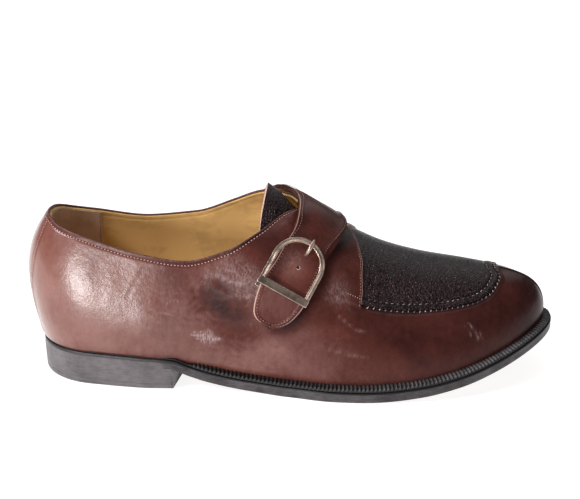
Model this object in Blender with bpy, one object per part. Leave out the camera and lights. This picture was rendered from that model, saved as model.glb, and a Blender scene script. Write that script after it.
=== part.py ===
# Right monk strap shoe, empty and standing on its sole.
# Metres, +Z up, +X towards the toe, +Y towards the inner (medial) side of the foot.
# The origin is on the floor, at the middle of the heel's rest face.
import functools
import math

import bmesh
import bpy
import numpy as np

# Driving sizes of the last
shoe_length = 0.310
ball_width = 0.108
instep_height = 0.104
back_height = 0.0967
back_fade = 0.40
toe_swing = 0.012
swing_start = 0.30
top_lean = 0.004
lean_start = 0.20
lean_length = 0.30
heel_round = 0.11
heel_round_power = 2.2
toe_round = 0.22
toe_round_power = 2.3

# Sole
heel_height = 0.0135
sole_thickness = 0.0060
toe_spring = 0.0245
spring_power = 1.9
edge_round = 0.0009
heel_taper = 0.0006
heel_end_lateral = 0.265
heel_end_medial = 0.300
spring_start = 0.600
rest_along = 0.125

# Welt
welt_width = 0.0052
welt_inner_height = 0.0030
welt_outer_height = 0.0019
rib_pitch = 0.0026
rib_depth = 0.0006
welt_start = 0.290

# Leather
wall = 0.0025
apron_recess = 0.0016
apron_thickness = 0.0012
apron_gap = 0.0005
seam_ridge = 0.0011
flap_rise = 0.0012
insole_thickness = 0.0035
strap_thickness = 0.0026
strap_lift = 0.0023

# Tongue: its free edge is half an ellipse over the instep
tongue_thickness = 0.0022
tongue_gap = 0.0013
tongue_along = 0.436
tongue_up = 1.086
tongue_across = 0.042
tongue_half_lateral = 0.238
tongue_half_medial = 0.184
tongue_drop = 0.292
tongue_turn = math.radians(82)
tongue_back_curve = 0.004
tongue_front = 0.632
tongue_side_rise = 0.70
tongue_sag = 0.0092

# Buckle
buckle_width = 0.0305
buckle_length = 0.0350
buckle_wire = 0.0028
buckle_bar = 0.0046
frame_flat = 0.85
bar_flat = 0.75
lug_width = 0.0022
lug_length = 0.0045
prong_width = 0.0026
prong_length = 0.0095
prong_flat = 0.6
prong_beyond = 0.0012
prong_across = 0.06
corner_start = 0.4
bar_overhang = 0.6

gap = 0.0003
seat = 0.0006
insole_gap = 0.0015
lateral, medial = -1, 1

# How many faces each curved piece gets
outsole_steps = 64
insole_steps = 54
heel_steps = 24
upper_steps = 40
tongue_steps = (14, 7)
strap_steps = (34, 6)
arc_steps = 12
tube_sides = 8


def tangents(x, y):
    # Slopes of a monotone cubic through the points
    step = np.diff(x)
    slope = np.diff(y) / step
    tangent = np.zeros(len(x))
    for i in range(1, len(x) - 1):
        if slope[i - 1] * slope[i] > 0:
            before = 2 * step[i] + step[i - 1]
            after = step[i] + 2 * step[i - 1]
            tangent[i] = (before + after) / (before / slope[i - 1] + after / slope[i])
    tangent[0], tangent[-1] = slope[0], slope[-1]
    return tangent


def table(columns, *rows):
    # Named columns; the first one is what smooth() looks the others up by
    names = columns.split()
    data = {name: np.array([row[i] for row in rows], float) for i, name in enumerate(names)}
    data["key"] = data[names[0]]
    data["slopes"] = {name: tangents(data["key"], data[name]) for name in names}
    return data


# Half widths of the sole, as shares of ball_width, along the sole's length
sole_rows = table(
    "along lateral medial",
    (0.00, 0.289, 0.278),
    (0.07, 0.318, 0.308),
    (0.12, 0.341, 0.316),
    (0.17, 0.364, 0.316),
    (0.22, 0.378, 0.304),
    (0.28, 0.376, 0.284),
    (0.33, 0.384, 0.268),
    (0.40, 0.406, 0.262),
    (0.48, 0.454, 0.282),
    (0.57, 0.515, 0.352),
    (0.66, 0.530, 0.440),
    (0.73, 0.520, 0.473),
    (0.80, 0.481, 0.461),
    (0.88, 0.414, 0.407),
    (0.94, 0.366, 0.361),
    (1.00, 0.327, 0.324))

# Height of the outsole's underside from the heel's back to the tread, as a share of heel_height
arch_rows = table(
    "along up",
    (0.000, 1.030),
    (0.120, 1.020),
    (0.200, 0.980),
    (0.265, 0.880),
    (0.293, 0.640),
    (0.324, 0.420),
    (0.358, 0.250),
    (0.397, 0.120),
    (0.437, 0.045),
    (0.480, 0.000),
    (1.000, 0.000))

# How far the upper's foot stands in from the sole's edge, as a share of welt_width
ledge_rows = table(
    "along inset",
    (0.00, -0.10),
    (0.10, -0.10),
    (0.22, 0.00),
    (0.28, 0.45),
    (0.35, 0.90),
    (0.60, 1.00),
    (0.80, 1.00),
    (1.00, 0.95))

# Top line of the last: the collar up to station 0.56, then the middle of instep, vamp and toe.
# Widths are shares of ball_width and heights of instep_height. Each section is one curve that
# leaves the sole at foot_angle and reaches the top line at top_angle; the reaches are shares
# of the section's chord.
last_rows = table(
    "station along out_lateral out_medial up_lateral up_medial foot_angle foot_reach top_angle top_reach",
    (0.00, 0.021, 0.000, 0.000, 0.930, 0.930, 75, 0.45, 52, 0.40),
    (0.04, 0.0235, 0.065, 0.066, 0.926, 0.926, 76, 0.44, 55, 0.38),
    (0.08, 0.032, 0.124, 0.127, 0.914, 0.915, 77, 0.43, 60, 0.37),
    (0.12, 0.047, 0.175, 0.182, 0.890, 0.893, 77, 0.41, 64, 0.35),
    (0.20, 0.100, 0.245, 0.245, 0.843, 0.855, 78, 0.38, 72, 0.33),
    (0.30, 0.200, 0.292, 0.292, 0.767, 0.810, 78, 0.36, 80, 0.30),
    (0.38, 0.290, 0.317, 0.317, 0.733, 0.827, 74, 0.36, 80, 0.30),
    (0.44, 0.365, 0.310, 0.310, 0.793, 0.904, 74, 0.36, 66, 0.30),
    (0.49, 0.428, 0.250, 0.250, 0.894, 0.980, 76, 0.34, 40, 0.28),
    (0.53, 0.478, 0.125, 0.110, 0.965, 1.000, 78, 0.33, 15, 0.26),
    (0.56, 0.515, 0.000, 0.000, 0.955, 0.955, 80, 0.32, 0, 0.30),
    (0.60, 0.585, 0.000, 0.000, 0.836, 0.836, 83, 0.31, 0, 0.33),
    (0.67, 0.665, 0.000, 0.000, 0.724, 0.724, 85, 0.31, 0, 0.38),
    (0.75, 0.735, 0.000, 0.000, 0.664, 0.664, 86, 0.34, 0, 0.41),
    (0.84, 0.790, 0.000, 0.000, 0.634, 0.634, 86, 0.40, 0, 0.44),
    (0.92, 0.818, 0.000, 0.000, 0.620, 0.620, 86, 0.45, 0, 0.45),
    (1.00, 0.828, 0.000, 0.000, 0.615, 0.615, 86, 0.49, 0, 0.48))
throat_station = 0.56

# Rise of the apron seam on each section, and station of the quarters' front edge on each rise
seam_rows = table(
    "station rise",
    (0.00, 0.46),
    (0.58, 0.45),
    (0.62, 0.442),
    (0.77, 0.450),
    (0.81, 0.478),
    (0.86, 0.567),
    (0.89, 0.635),
    (0.93, 0.725),
    (1.00, 0.790))
flap_rows = table(
    "rise station",
    (0.00, 0.588),
    (0.43, 0.591),
    (0.52, 0.598),
    (0.61, 0.604),
    (0.71, 0.611),
    (0.82, 0.6125),
    (1.00, 0.601))
flap_station = 0.603
flap_fade = 0.07
bow_reach = 0.09
seam_step = 0.018
edge_step = 0.0015
# Where the rows of faces lie below the seam and above it, as shares of those stretches
lower_parts = (0.0, 0.17, 0.37, 0.57, 0.77)
upper_parts = (0.22, 0.46, 0.73, 1.0)
# Stations where the sections turn: over the ridge, towards the toe and towards the heel
ridge_start = 0.53
ridge_fade = 0.04
toe_turn = 0.66
heel_turn = 0.40

# Strap from the inner side over the instep to its tip. Each row holds the section station and
# rise of its rear and front edges, and the lift in shares of strap_lift.
strap_inner_rows = table(
    "station_rear rise_rear station_front rise_front lift_rear lift_front",
    (0.490, 0.930, 0.592, 0.600, 0.40, 0.95),
    (0.512, 0.985, 0.598, 0.800, 0.80, 1.10))
strap_outer_rows = table(
    "station_rear rise_rear station_front rise_front lift_rear lift_front",
    (0.533, 0.860, 0.593, 0.860, 2.60, 1.40),
    (0.519, 0.775, 0.568, 0.640, 1.60, 1.60),
    (0.503, 0.720, 0.551, 0.560, 1.50, 1.50),
    (0.481, 0.655, 0.532, 0.485, 1.80, 1.80),
    (0.464, 0.530, 0.514, 0.410, 1.10, 1.10),
    (0.459, 0.452, 0.500, 0.352, 1.00, 1.00))
# The strap's underside on the crest, in shares of shoe_length, ball_width and instep_height
strap_crest = table(
    "along across up",
    (0.493, 0.045, 1.006),
    (0.538, 0.050, 0.948),
    (0.579, 0.055, 0.871))
strap_round = 0.80
strap_round_power = 2.4
strap_tip_share = 0.03
buckle_at = 0.665
buckle_reach = 0.09

leather = (0.135, 0.052, 0.043)
pebbled = (0.024, 0.018, 0.020)
black = (0.020, 0.019, 0.020)
charcoal = (0.065, 0.060, 0.062)
tan = (0.560, 0.360, 0.140)
brass = (0.520, 0.420, 0.290)


def smooth(rows, column, at):
    # Value of a column at any place between its rows
    x, y, tangent = rows["key"], rows[column], rows["slopes"][column]
    at = np.minimum(np.maximum(np.asarray(at, float), x[0]), x[-1])
    i = np.minimum(np.searchsorted(x, at, side="right") - 1, len(x) - 2)
    step = x[i + 1] - x[i]
    u = (at - x[i]) / step
    return ((2 * u**3 - 3 * u**2 + 1) * y[i] + (u**3 - 2 * u**2 + u) * step * tangent[i]
            + (3 * u**2 - 2 * u**3) * y[i + 1] + (u**3 - u**2) * step * tangent[i + 1])


def unit(vectors):
    return vectors / (np.linalg.norm(vectors, axis=-1, keepdims=True) + 1e-12)


def share(station):
    # Share of the length at a station; stations crowd at the heel's back and at the toe
    return (1 - np.cos(np.pi * np.asarray(station, float))) / 2


def station_of(along):
    return math.acos(1 - 2 * along) / math.pi


def place_x(along):
    return (along - rest_along) * shoe_length


def middle(along):
    return toe_swing * (np.clip(along - swing_start, 0, 1) / (1 - swing_start))**2


def end_round(along):
    back = np.clip(1 - along / heel_round, 0, 1)
    front = np.clip((along - 1 + toe_round) / toe_round, 0, 1)
    return np.sqrt(1 - back**heel_round_power) * np.sqrt(1 - front**toe_round_power)


def sole_edge(station, side):
    along = share(station)
    half = smooth(sole_rows, "lateral" if side < 0 else "medial", along)
    return np.stack([place_x(along), middle(along) + side * half * ball_width * end_round(along)], -1)


def outline(station, side, inset=0.0):
    # Plan points of the sole's edge, moved inwards by inset, and the inward directions
    station = np.asarray(station, float)
    step = 1e-4
    run = unit(sole_edge(np.clip(station + step, 0, 1), side) - sole_edge(np.clip(station - step, 0, 1), side))
    inward = np.stack([-run[..., 1], run[..., 0]], -1) * -side
    inward = np.where((station <= 1e-6)[..., None], [1.0, 0.0], inward)
    inward = np.where((station >= 1 - 1e-6)[..., None], [-1.0, 0.0], inward)
    return sole_edge(station, side) + inward * np.asarray(inset)[..., None], inward


def sole_under(x):
    # Height of the outsole's underside: over the heel, down the arch, flat at the tread, then sprung
    along = x / shoe_length + rest_along
    arch = heel_height * smooth(arch_rows, "up", along)
    spring = toe_spring * np.clip((along - spring_start) / (1 - spring_start), 0, None)**spring_power
    return arch + spring


def sole_top(x):
    return sole_under(x) + sole_thickness


def top_line(station, side):
    word = "lateral" if side < 0 else "medial"
    along = smooth(last_rows, "along", station)
    out = smooth(last_rows, "out_" + word, station) * ball_width * side
    up = smooth(last_rows, "up_" + word, station)
    both = (smooth(last_rows, "up_lateral", station) + smooth(last_rows, "up_medial", station)) / 2
    up = np.where(np.asarray(station) >= throat_station, both, up)
    back = back_height - last_rows["up_lateral"][0] * instep_height
    height = up * instep_height + back * np.clip(1 - station / back_fade, 0, 1)
    lean = top_lean * np.clip((along - lean_start) / lean_length, 0, 1)
    return np.stack([place_x(along), middle(along) + lean + out, height], -1)


def last(station, rise, side):
    # The upper's outer surface before any step: one cubic curve from the sole to the top line
    station, rise = np.broadcast_arrays(np.asarray(station, float), np.asarray(rise, float))
    along = share(station)
    ledge = smooth(ledge_rows, "inset", along) * welt_width + gap
    plan, inward = outline(station, side, ledge)
    foot = np.concatenate([plan, (sole_top(plan[..., 0]) + seat)[..., None]], -1)
    top = top_line(station, side)
    out = np.concatenate([-inward, np.zeros(inward.shape[:-1] + (1,))], -1)
    up = np.array([0.0, 0.0, 1.0])

    step = 2e-3
    ahead = top_line(np.clip(station + step, 0, 1), side)
    behind = top_line(np.clip(station - step, 0, 1), side)
    fall = (ahead[..., 2] - behind[..., 2]) / (ahead[..., 0] - behind[..., 0] + 1e-9)
    fall = fall * np.clip((station - ridge_start) / ridge_fade, 0, 1)

    chord = np.linalg.norm(top - foot, axis=-1)
    level = unit((top - foot) * [1, 1, 0])
    across = np.zeros_like(level)
    across[..., 1] = -side
    toe = np.clip((station - toe_turn) / (1 - toe_turn), 0, 1)[..., None]
    heel = np.clip(1 - station / heel_turn, 0, 1)[..., None]
    inwards = across * (1 - toe) + level * toe
    inwards = unit(inwards * (1 - heel) - out * heel)
    inwards = unit(inwards + up * (fall * inwards[..., 0])[..., None])

    def lean(towards, angle, reach):
        turn = np.radians(smooth(last_rows, angle, station))[..., None]
        length = (smooth(last_rows, reach, station) * chord)[..., None]
        return (towards * np.cos(turn) + up * np.sin(turn)) * length

    low = foot + lean(out, "foot_angle", "foot_reach")
    high = top - lean(inwards, "top_angle", "top_reach")
    t = rise[..., None]
    return (1 - t)**3 * foot + 3 * (1 - t)**2 * t * low + 3 * (1 - t) * t**2 * high + t**3 * top


def last_out(station, rise, side):
    # Outward direction on the last
    station, rise = np.broadcast_arrays(np.asarray(station, float), np.asarray(rise, float))
    step = 1e-3

    def raw(side):
        along = last(np.clip(station + step, 0, 1), rise, side) - last(np.clip(station - step, 0, 1), rise, side)
        upward = last(station, np.clip(rise + step, 0, 1), side) - last(station, np.clip(rise - step, 0, 1), side)
        return unit(np.cross(along, upward) * -side)

    here, other = raw(side), raw(-side)
    shared = (station <= 1e-6) | (station >= 1 - 1e-6) | ((rise >= 1 - 1e-6) & (station >= throat_station - 1e-6))
    return np.where(shared[..., None], unit(here + other), here)


def seam_rise(station):
    return smooth(seam_rows, "rise", station)


def bowed(station, rise):
    # Stations near the quarters' front edge follow its bowed line
    shift = smooth(flap_rows, "station", rise) - flap_station
    return station + shift * np.clip(1 - np.abs(station - flap_station) / bow_reach, 0, 1)


def raised(station):
    # The quarters lie over the vamp and fade into it towards the back
    fade = np.clip((station - flap_station + flap_fade) / flap_fade, 0, 1)
    return flap_rise * fade**2 * (3 - 2 * fade)


def upper_rows(station):
    # Rises of the outer rows on one section, and how far each row stands out from the last
    seam = float(seam_rise(station))
    below = [seam * part for part in lower_parts]
    steps = [seam - 2 * seam_step, seam - seam_step, seam, seam + 0.4 * seam_step]
    above = [seam + (1 - seam) * part for part in upper_parts]
    if station > flap_station:
        offsets = [0.0] * 6 + [seam_ridge] * 2 + [-apron_recess] * 5
    else:
        lift = float(raised(station))
        offsets = [0.0] * 6 + [0.5 * lift] + [lift] * 6
    return below + steps + above, offsets


inner_rows = (0, 2, 4, 7, 9, 10, 11, 12)


def upper_stations():
    plain = [i / upper_steps for i in range(upper_steps + 1)]
    near = 0.4 / upper_steps
    plain = [s for s in plain if abs(s - flap_station) > near and abs(s - throat_station) > 0.8 * near]
    return sorted(plain + [throat_station, flap_station - edge_step, flap_station + edge_step])


def finish(obj, colour, roughness, metallic=0.0):
    material = bpy.data.materials.new(obj.name)
    material.use_nodes = True
    shader = material.node_tree.nodes["Principled BSDF"]
    shader.inputs["Base Color"].default_value = (*colour, 1.0)
    shader.inputs["Roughness"].default_value = roughness
    shader.inputs["Metallic"].default_value = metallic
    obj.data.materials.append(material)
    obj.data.shade_smooth()
    obj.data.set_sharp_from_angle(angle=math.radians(35))
    return obj


def solid(name, faces):
    # One object from faces given by their corner points; shared corners are welded
    index = {}
    corners = []
    cells = []
    for face in faces:
        cell = []
        for point in face:
            key = tuple(int(round(value * 1e7)) for value in point)
            if key not in index:
                index[key] = len(corners)
                corners.append(tuple(float(value) for value in point))
            if index[key] not in cell:
                cell.append(index[key])
        if len(cell) > 2:
            cells.append(cell)
    mesh = bpy.data.meshes.new(name)
    mesh.from_pydata(corners, [], cells)
    shape = bmesh.new()
    shape.from_mesh(mesh)
    bmesh.ops.triangulate(shape, faces=shape.faces)
    bmesh.ops.recalc_face_normals(shape, faces=shape.faces)
    shape.to_mesh(mesh)
    shape.free()
    obj = bpy.data.objects.new(name, mesh)
    bpy.context.collection.objects.link(obj)
    return obj


def grid_faces(grid):
    return [(grid[i][j], grid[i + 1][j], grid[i + 1][j + 1], grid[i][j + 1])
            for i in range(len(grid) - 1) for j in range(len(grid[0]) - 1)]


def strip_faces(one, other):
    return [(one[i], one[i + 1], other[i + 1], other[i]) for i in range(len(one) - 1)]


def loft(name, sections, caps=(True, True)):
    # Closed sections joined in order, with a cap at either end
    faces = []
    for one, other in zip(sections, sections[1:]):
        for i in range(len(one)):
            k = (i + 1) % len(one)
            faces.append((one[i], one[k], other[k], other[i]))
    if caps[0]:
        faces.append(sections[0])
    if caps[1]:
        faces.append(sections[-1])
    return solid(name, faces)


def across_sections(ends, inset, levels, count):
    # Sections of a flat piece from the heel's back to its end, each a loop round both edges
    sections = []
    for i in range(count + 1):
        loop = []
        for side in (lateral, medial):
            station = ends[side] * i / count
            order = levels if side == lateral else levels[::-1]
            for extra, height in order:
                plan, _ = outline(np.array(station), side, inset(float(share(station))) + extra)
                loop.append((plan[0], plan[1], height(plan[0])))
        sections.append(loop)
    return sections


def make_outsole():
    def edge(height):
        return lambda x: sole_under(x) + height
    levels = [(edge_round, edge(sole_thickness)), (0.0, edge(sole_thickness - edge_round)),
              (0.0, edge(edge_round)), (edge_round, edge(0.0))]
    sections = across_sections({lateral: 1.0, medial: 1.0}, lambda along: 0.0, levels, outsole_steps)
    return finish(loft("outsole", sections, caps=(False, False)), charcoal, 0.55)


def make_heel():
    levels = [(0.0, lambda x: sole_under(x) - seat), (heel_taper, lambda x: edge_round),
              (heel_taper + edge_round, lambda x: 0.0)]
    ends = {lateral: station_of(heel_end_lateral), medial: station_of(heel_end_medial)}
    sections = across_sections(ends, lambda along: 0.0, levels, heel_steps)
    return finish(loft("heel", sections, caps=(False, True)), charcoal, 0.50)


def make_insole():
    def edge(height):
        return lambda x: sole_top(x) + seat + height

    def inset(along):
        return float(smooth(ledge_rows, "inset", along)) * welt_width + wall + insole_gap
    levels = [(0.0, edge(insole_thickness)), (0.0, edge(0.0))]
    sections = across_sections({lateral: 1.0, medial: 1.0}, inset, levels, insole_steps)
    return finish(loft("insole", sections, caps=(False, False)), tan, 0.70)


def make_welt():
    # Stations spaced evenly round the edge, two for each rib, outer side first
    start = station_of(welt_start)
    fine = np.linspace(start, 1, 400)
    route = [(lateral, s) for s in fine] + [(medial, s) for s in fine[::-1][1:]]
    points = np.array([outline(np.array(s), side)[0] for side, s in route])
    run = np.concatenate([[0], np.cumsum(np.linalg.norm(np.diff(points, axis=0), axis=1))])
    ribs = int(round(run[-1] / rib_pitch))
    sections = []
    for k in range(2 * ribs + 1):
        place = run[-1] * k / (2 * ribs)
        travel = np.interp(place, run, np.arange(len(route)))
        whole = min(int(travel), len(route) - 2)
        side = route[whole][0]
        station = (1 - travel + whole) * route[whole][1] + (travel - whole) * route[whole + 1][1]
        groove = rib_depth if k % 2 else 0.0
        edge, inward = outline(np.array(station), side, edge_round + groove)
        chord = np.linalg.norm(last(station, 1.0, side) - last(station, 0.0, side))
        loop = []
        for height in (0.0, welt_inner_height):
            rise = height / chord
            near = last(station, rise, side) + last_out(station, rise, side) * 2 * gap
            loop.append((near[0], near[1], sole_top(near[0]) + seat + height))
        for height in (welt_outer_height - groove, 0.0):
            loop.append((edge[0], edge[1], sole_top(edge[0]) + seat + height))
        sections.append(loop)
    return finish(loft("welt", sections), black, 0.60)


def surface_grid(side, stations, rows):
    # Points of one side: rows(station) gives rises and offsets from the last
    grid = []
    for station in stations:
        rises, offsets = rows(station)
        rises = np.array(rises)
        places = bowed(station, rises)
        if station in (0.0, 1.0):
            places = np.full(len(rises), station)
        if abs(station - throat_station) < 1e-6 or station < throat_station:
            places[-1] = station
        points = last(places, rises, side) + last_out(places, rises, side) * np.array(offsets)[:, None]
        grid.append(points)
    return grid


def make_upper():
    stations = upper_stations()

    def inside(station):
        rises, _ = upper_rows(station)
        rises = [rises[i] for i in inner_rows]
        return rises, [-wall] * len(rises)

    faces = []
    for side in (lateral, medial):
        outer = surface_grid(side, stations, upper_rows)
        inner = surface_grid(side, stations, inside)
        faces += grid_faces(outer) + grid_faces(inner)
        faces += strip_faces([row[0] for row in outer], [row[0] for row in inner])
        collar = stations.index(throat_station) + 1
        faces += strip_faces([row[-1] for row in outer[:collar]], [row[-1] for row in inner[:collar]])
    return finish(solid("upper", faces), leather, 0.35)


def make_apron():
    stations = [s for s in upper_stations() if s > flap_station + 2 * edge_step]
    stations = [flap_station + 2.6 * edge_step] + stations

    def rows(offset):
        def at(station):
            rises, _ = upper_rows(station)
            rises = [rises[7] + 0.9 * seam_step] + rises[9:]
            return rises, [offset] * len(rises)
        return at
    top, under = rows(apron_thickness + apron_gap - apron_recess), rows(apron_gap - apron_recess)
    faces = []
    for side in (lateral, medial):
        outer = surface_grid(side, stations, top)
        inner = surface_grid(side, stations, under)
        faces += grid_faces(outer) + grid_faces(inner)
        faces += strip_faces([row[0] for row in outer], [row[0] for row in inner])
        faces += strip_faces(list(outer[0]), list(inner[0]))
    return finish(solid("apron", faces), pebbled, 0.55)


def thicken(obj, thickness, outwards):
    # Solidify gives the sheet its wall, on the side of its faces that is asked for
    wall_maker = obj.modifiers.new("wall", "SOLIDIFY")
    wall_maker.thickness = thickness
    wall_maker.offset = 1.0 if outwards else -1.0
    wall_maker.use_even_offset = True


def sheet(name, grid):
    # A grid of points as one open sheet, its faces turned away from the inside of the shoe
    rows, columns = len(grid), len(grid[0])
    mesh = bpy.data.meshes.new(name)
    shape = bmesh.new()
    corners = [[shape.verts.new(tuple(float(v) for v in point)) for point in row] for row in grid]
    for i in range(rows - 1):
        for j in range(columns - 1):
            shape.faces.new((corners[i][j], corners[i + 1][j], corners[i + 1][j + 1], corners[i][j + 1]))
    shape.to_mesh(mesh)
    shape.free()
    obj = bpy.data.objects.new(name, mesh)
    bpy.context.collection.objects.link(obj)
    return obj


def make_tongue():
    across, along = tongue_steps
    grid = []
    for i in range(across + 1):
        turn = (1 - 2 * i / across) * tongue_turn
        side = lateral if turn < 0 else medial
        half = tongue_half_lateral if turn < 0 else tongue_half_medial
        back = np.array([
            place_x(tongue_along) - tongue_back_curve * math.sin(turn)**2,
            tongue_across * ball_width + half * ball_width * math.sin(turn),
            tongue_up * instep_height - tongue_drop * instep_height * (1 - math.cos(turn))])
        rise = 1 - (1 - tongue_side_rise) * abs(turn) / tongue_turn
        deep = last_out(tongue_front, rise, side)
        front = last(tongue_front, rise, side) - deep * (wall + tongue_gap)
        line = []
        for j in range(along + 1):
            part = j / along
            sag = tongue_sag * 6.75 * part**2 * (1 - part)
            line.append(back + (front - back) * part - deep * sag)
        grid.append(line)
    obj = sheet("tongue", grid)
    thicken(obj, tongue_thickness, False)
    return finish(obj, pebbled, 0.60)


def through(points, at):
    # Catmull-Rom curve through points; at runs from 0 to 1
    count = len(points) - 1
    travel = min(max(at, 0.0), 1.0) * count
    i = min(int(travel), count - 1)
    u = travel - i
    p1, p2 = points[i], points[i + 1]
    p0 = points[i - 1] if i > 0 else 2 * p1 - p2
    p3 = points[i + 2] if i + 2 <= count else 2 * p2 - p1
    return 0.5 * (2 * p1 + (p2 - p0) * u + (2 * p0 - 5 * p1 + 4 * p2 - p3) * u**2
                  + (3 * p1 - p0 - 3 * p2 + p3) * u**3)


@functools.lru_cache(maxsize=None)
def strap_line(across):
    # Underside of the strap from its inner end to its tip, on one line between its two edges
    def on_last(source, side):
        rows = []
        for i in range(len(source["lift_rear"])):
            station, rise, lift = [source[word + "_rear"][i] * (1 - across) + source[word + "_front"][i] * across
                                   for word in ("station", "rise", "lift")]
            rows.append(last(station, rise, side) + last_out(station, rise, side) * lift * strap_lift)
        return rows
    crest = [np.array([place_x(a), middle(a) + c * ball_width, u * instep_height])
             for a, c, u in zip(strap_crest["along"], strap_crest["across"], strap_crest["up"])]
    return on_last(strap_inner_rows, medial) + [through(crest, across)] + on_last(strap_outer_rows, lateral)


def strap_point(along, across):
    return through(strap_line(across), along)


def strap_frame(along, reach):
    # Middle of the strap with its directions towards the tip, towards the front edge and outwards
    centre = strap_point(along, 0.5)
    ahead = unit(strap_point(along + reach, 0.5) - strap_point(along - reach, 0.5))
    out = unit(np.cross(ahead, strap_point(along, 0.8) - strap_point(along, 0.2)))
    return centre, ahead, unit(np.cross(out, ahead)), out


def make_strap():
    along, across = strap_steps
    grid = []
    for i in range(along + 1):
        place = i / along
        past = max(0.0, (place - strap_round) / (1 - strap_round))
        half = 0.5 * math.sqrt(max(1 - past**strap_round_power, strap_tip_share))
        grid.append([strap_point(place, 0.5 + half * (2 * j / across - 1)) for j in range(across + 1)])
    obj = sheet("strap", grid)
    thicken(obj, strap_thickness, True)
    return finish(obj, leather, 0.35)


def tube(name, path, wide, deep, normal):
    # Bar of oval section along a path of points, flat to one normal
    sections = []
    for i, point in enumerate(path):
        run = unit(path[min(i + 1, len(path) - 1)] - path[max(i - 1, 0)])
        level = unit(np.cross(normal, run))
        upright = np.cross(run, level)
        turns = [2 * math.pi * (k + 0.5) / tube_sides for k in range(tube_sides)]
        sections.append([point + level * wide / 2 * math.cos(turn) + upright * deep / 2 * math.sin(turn)
                         for turn in turns])
    return loft(name, sections)


def join_into(obj, cutters):
    for other in cutters:
        union = obj.modifiers.new("join " + other.name, "BOOLEAN")
        union.operation = "UNION"
        union.solver = "EXACT"
        union.object = other
        other.hide_render = True
        other.display_type = "WIRE"


def buckle_place():
    # The buckle is flat and clears the strap's highest point under it
    centre, ahead, front, out = strap_frame(buckle_at, buckle_reach)
    spread = [strap_point(buckle_at + buckle_reach * i / 4, j / 8) for i in range(-5, 6) for j in range(9)]
    level = max(float(np.dot(point - centre, out)) for point in spread)
    level += strap_thickness + gap + buckle_wire / 2

    def place(along, across, up=0.0):
        return centre + ahead * along + front * across + out * (level + up)
    return place, out


def make_buckle():
    place, out = buckle_place()
    half = (buckle_width - buckle_wire) / 2
    bar_place = (buckle_length - buckle_bar) / 2
    arc_place = half - (buckle_length - buckle_wire) / 2
    path = [place(bar_place, -half), place(corner_start * bar_place, -half)]
    for k in range(arc_steps + 1):
        turn = math.pi * k / arc_steps
        path.append(place(arc_place - half * math.sin(turn), -half * math.cos(turn)))
    path += [place(corner_start * bar_place, half), place(bar_place, half)]
    frame = tube("buckle_frame", path, buckle_wire, buckle_wire * frame_flat, out)
    reach = half + bar_overhang * buckle_wire
    bar = tube("buckle_bar_guide", [place(bar_place, -reach), place(bar_place, reach)],
               buckle_bar, buckle_wire * bar_flat, out)
    lug = tube("buckle_lug_guide", [place(bar_place, -reach + lug_width / 2),
                                    place(bar_place + lug_length, -reach + lug_width / 2)],
               lug_width, lug_width * bar_flat, out)
    join_into(frame, [bar, lug])
    return finish(frame, brass, 0.35, 1.0)


def make_prong():
    # Tip of the prong: up from the strap's hole and over the round end of the frame
    place, out = buckle_place()
    tip = -(buckle_length / 2 + prong_beyond)
    over = buckle_wire * frame_flat / 2 + gap + prong_width * prong_flat / 2
    side = prong_across * buckle_width
    path = [place(tip + prong_length, side, -0.2 * buckle_wire), place(tip + 0.72 * prong_length, side, 0.9 * over),
            place(tip + 0.38 * prong_length, side, over + gap), place(tip, side, over)]
    prong = tube("buckle_prong", path, prong_width, prong_width * prong_flat, out)
    return finish(prong, brass, 0.35, 1.0)


def main():
    for obj in list(bpy.data.objects):
        bpy.data.objects.remove(obj, do_unlink=True)
    make_outsole()
    make_heel()
    make_insole()
    make_welt()
    make_upper()
    make_apron()
    make_tongue()
    make_strap()
    make_buckle()
    make_prong()


main()
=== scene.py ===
# Right monk strap shoe, empty on its sole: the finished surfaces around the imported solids.
# Metres, +Z up, +X towards the toe, +Y towards the inner (medial) side of the foot.
import math

import bpy
import numpy as np
from mathutils import Matrix, Vector


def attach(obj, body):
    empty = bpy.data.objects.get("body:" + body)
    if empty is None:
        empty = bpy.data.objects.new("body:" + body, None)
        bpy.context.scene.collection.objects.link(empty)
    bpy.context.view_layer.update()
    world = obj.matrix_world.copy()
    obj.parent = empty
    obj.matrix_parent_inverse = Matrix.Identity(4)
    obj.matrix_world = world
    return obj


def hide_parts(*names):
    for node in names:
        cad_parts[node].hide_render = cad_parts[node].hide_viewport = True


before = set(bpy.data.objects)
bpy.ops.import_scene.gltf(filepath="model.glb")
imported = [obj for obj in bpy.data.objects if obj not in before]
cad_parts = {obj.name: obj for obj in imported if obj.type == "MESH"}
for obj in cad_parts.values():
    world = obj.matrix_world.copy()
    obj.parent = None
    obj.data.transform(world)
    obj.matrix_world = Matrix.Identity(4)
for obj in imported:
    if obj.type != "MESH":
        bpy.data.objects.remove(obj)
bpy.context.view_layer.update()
bpy.ops.object.select_all(action="DESELECT")
print("frame loaded")

mm = 0.001
lateral, medial = -1, 1
upward = np.array([0.0, 0.0, 1.0])

lastSizes = {
    "length": 310 * mm, "ballWidth": 108 * mm, "instepHeight": 104 * mm, "backHeight": 96.7 * mm,
    "toeSwing": 12 * mm, "swingStart": 0.30, "restAlong": 0.125, "throatStation": 0.56,
    "heelRound": 0.11, "heelPower": 2.2, "toeStart": 0.78, "toeRound": 0.22, "toePower": 2.3,
    "instepLean": 4 * mm,
    "wall": 2.5 * mm, "leather": 1.25 * mm, "seat": 0.6 * mm, "gap": 0.3 * mm,
}
soleSizes = {
    "heelHeight": 13.5 * mm, "thickness": 6.0 * mm, "toeSpring": 24.5 * mm, "springStart": 0.600,
    "springPower": 1.9, "edgeRound": 0.9 * mm, "weltWidth": 5.2 * mm, "heelTaper": 0.6 * mm,
    "heelEndLateral": 0.265, "heelEndMedial": 0.300,
}


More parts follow.
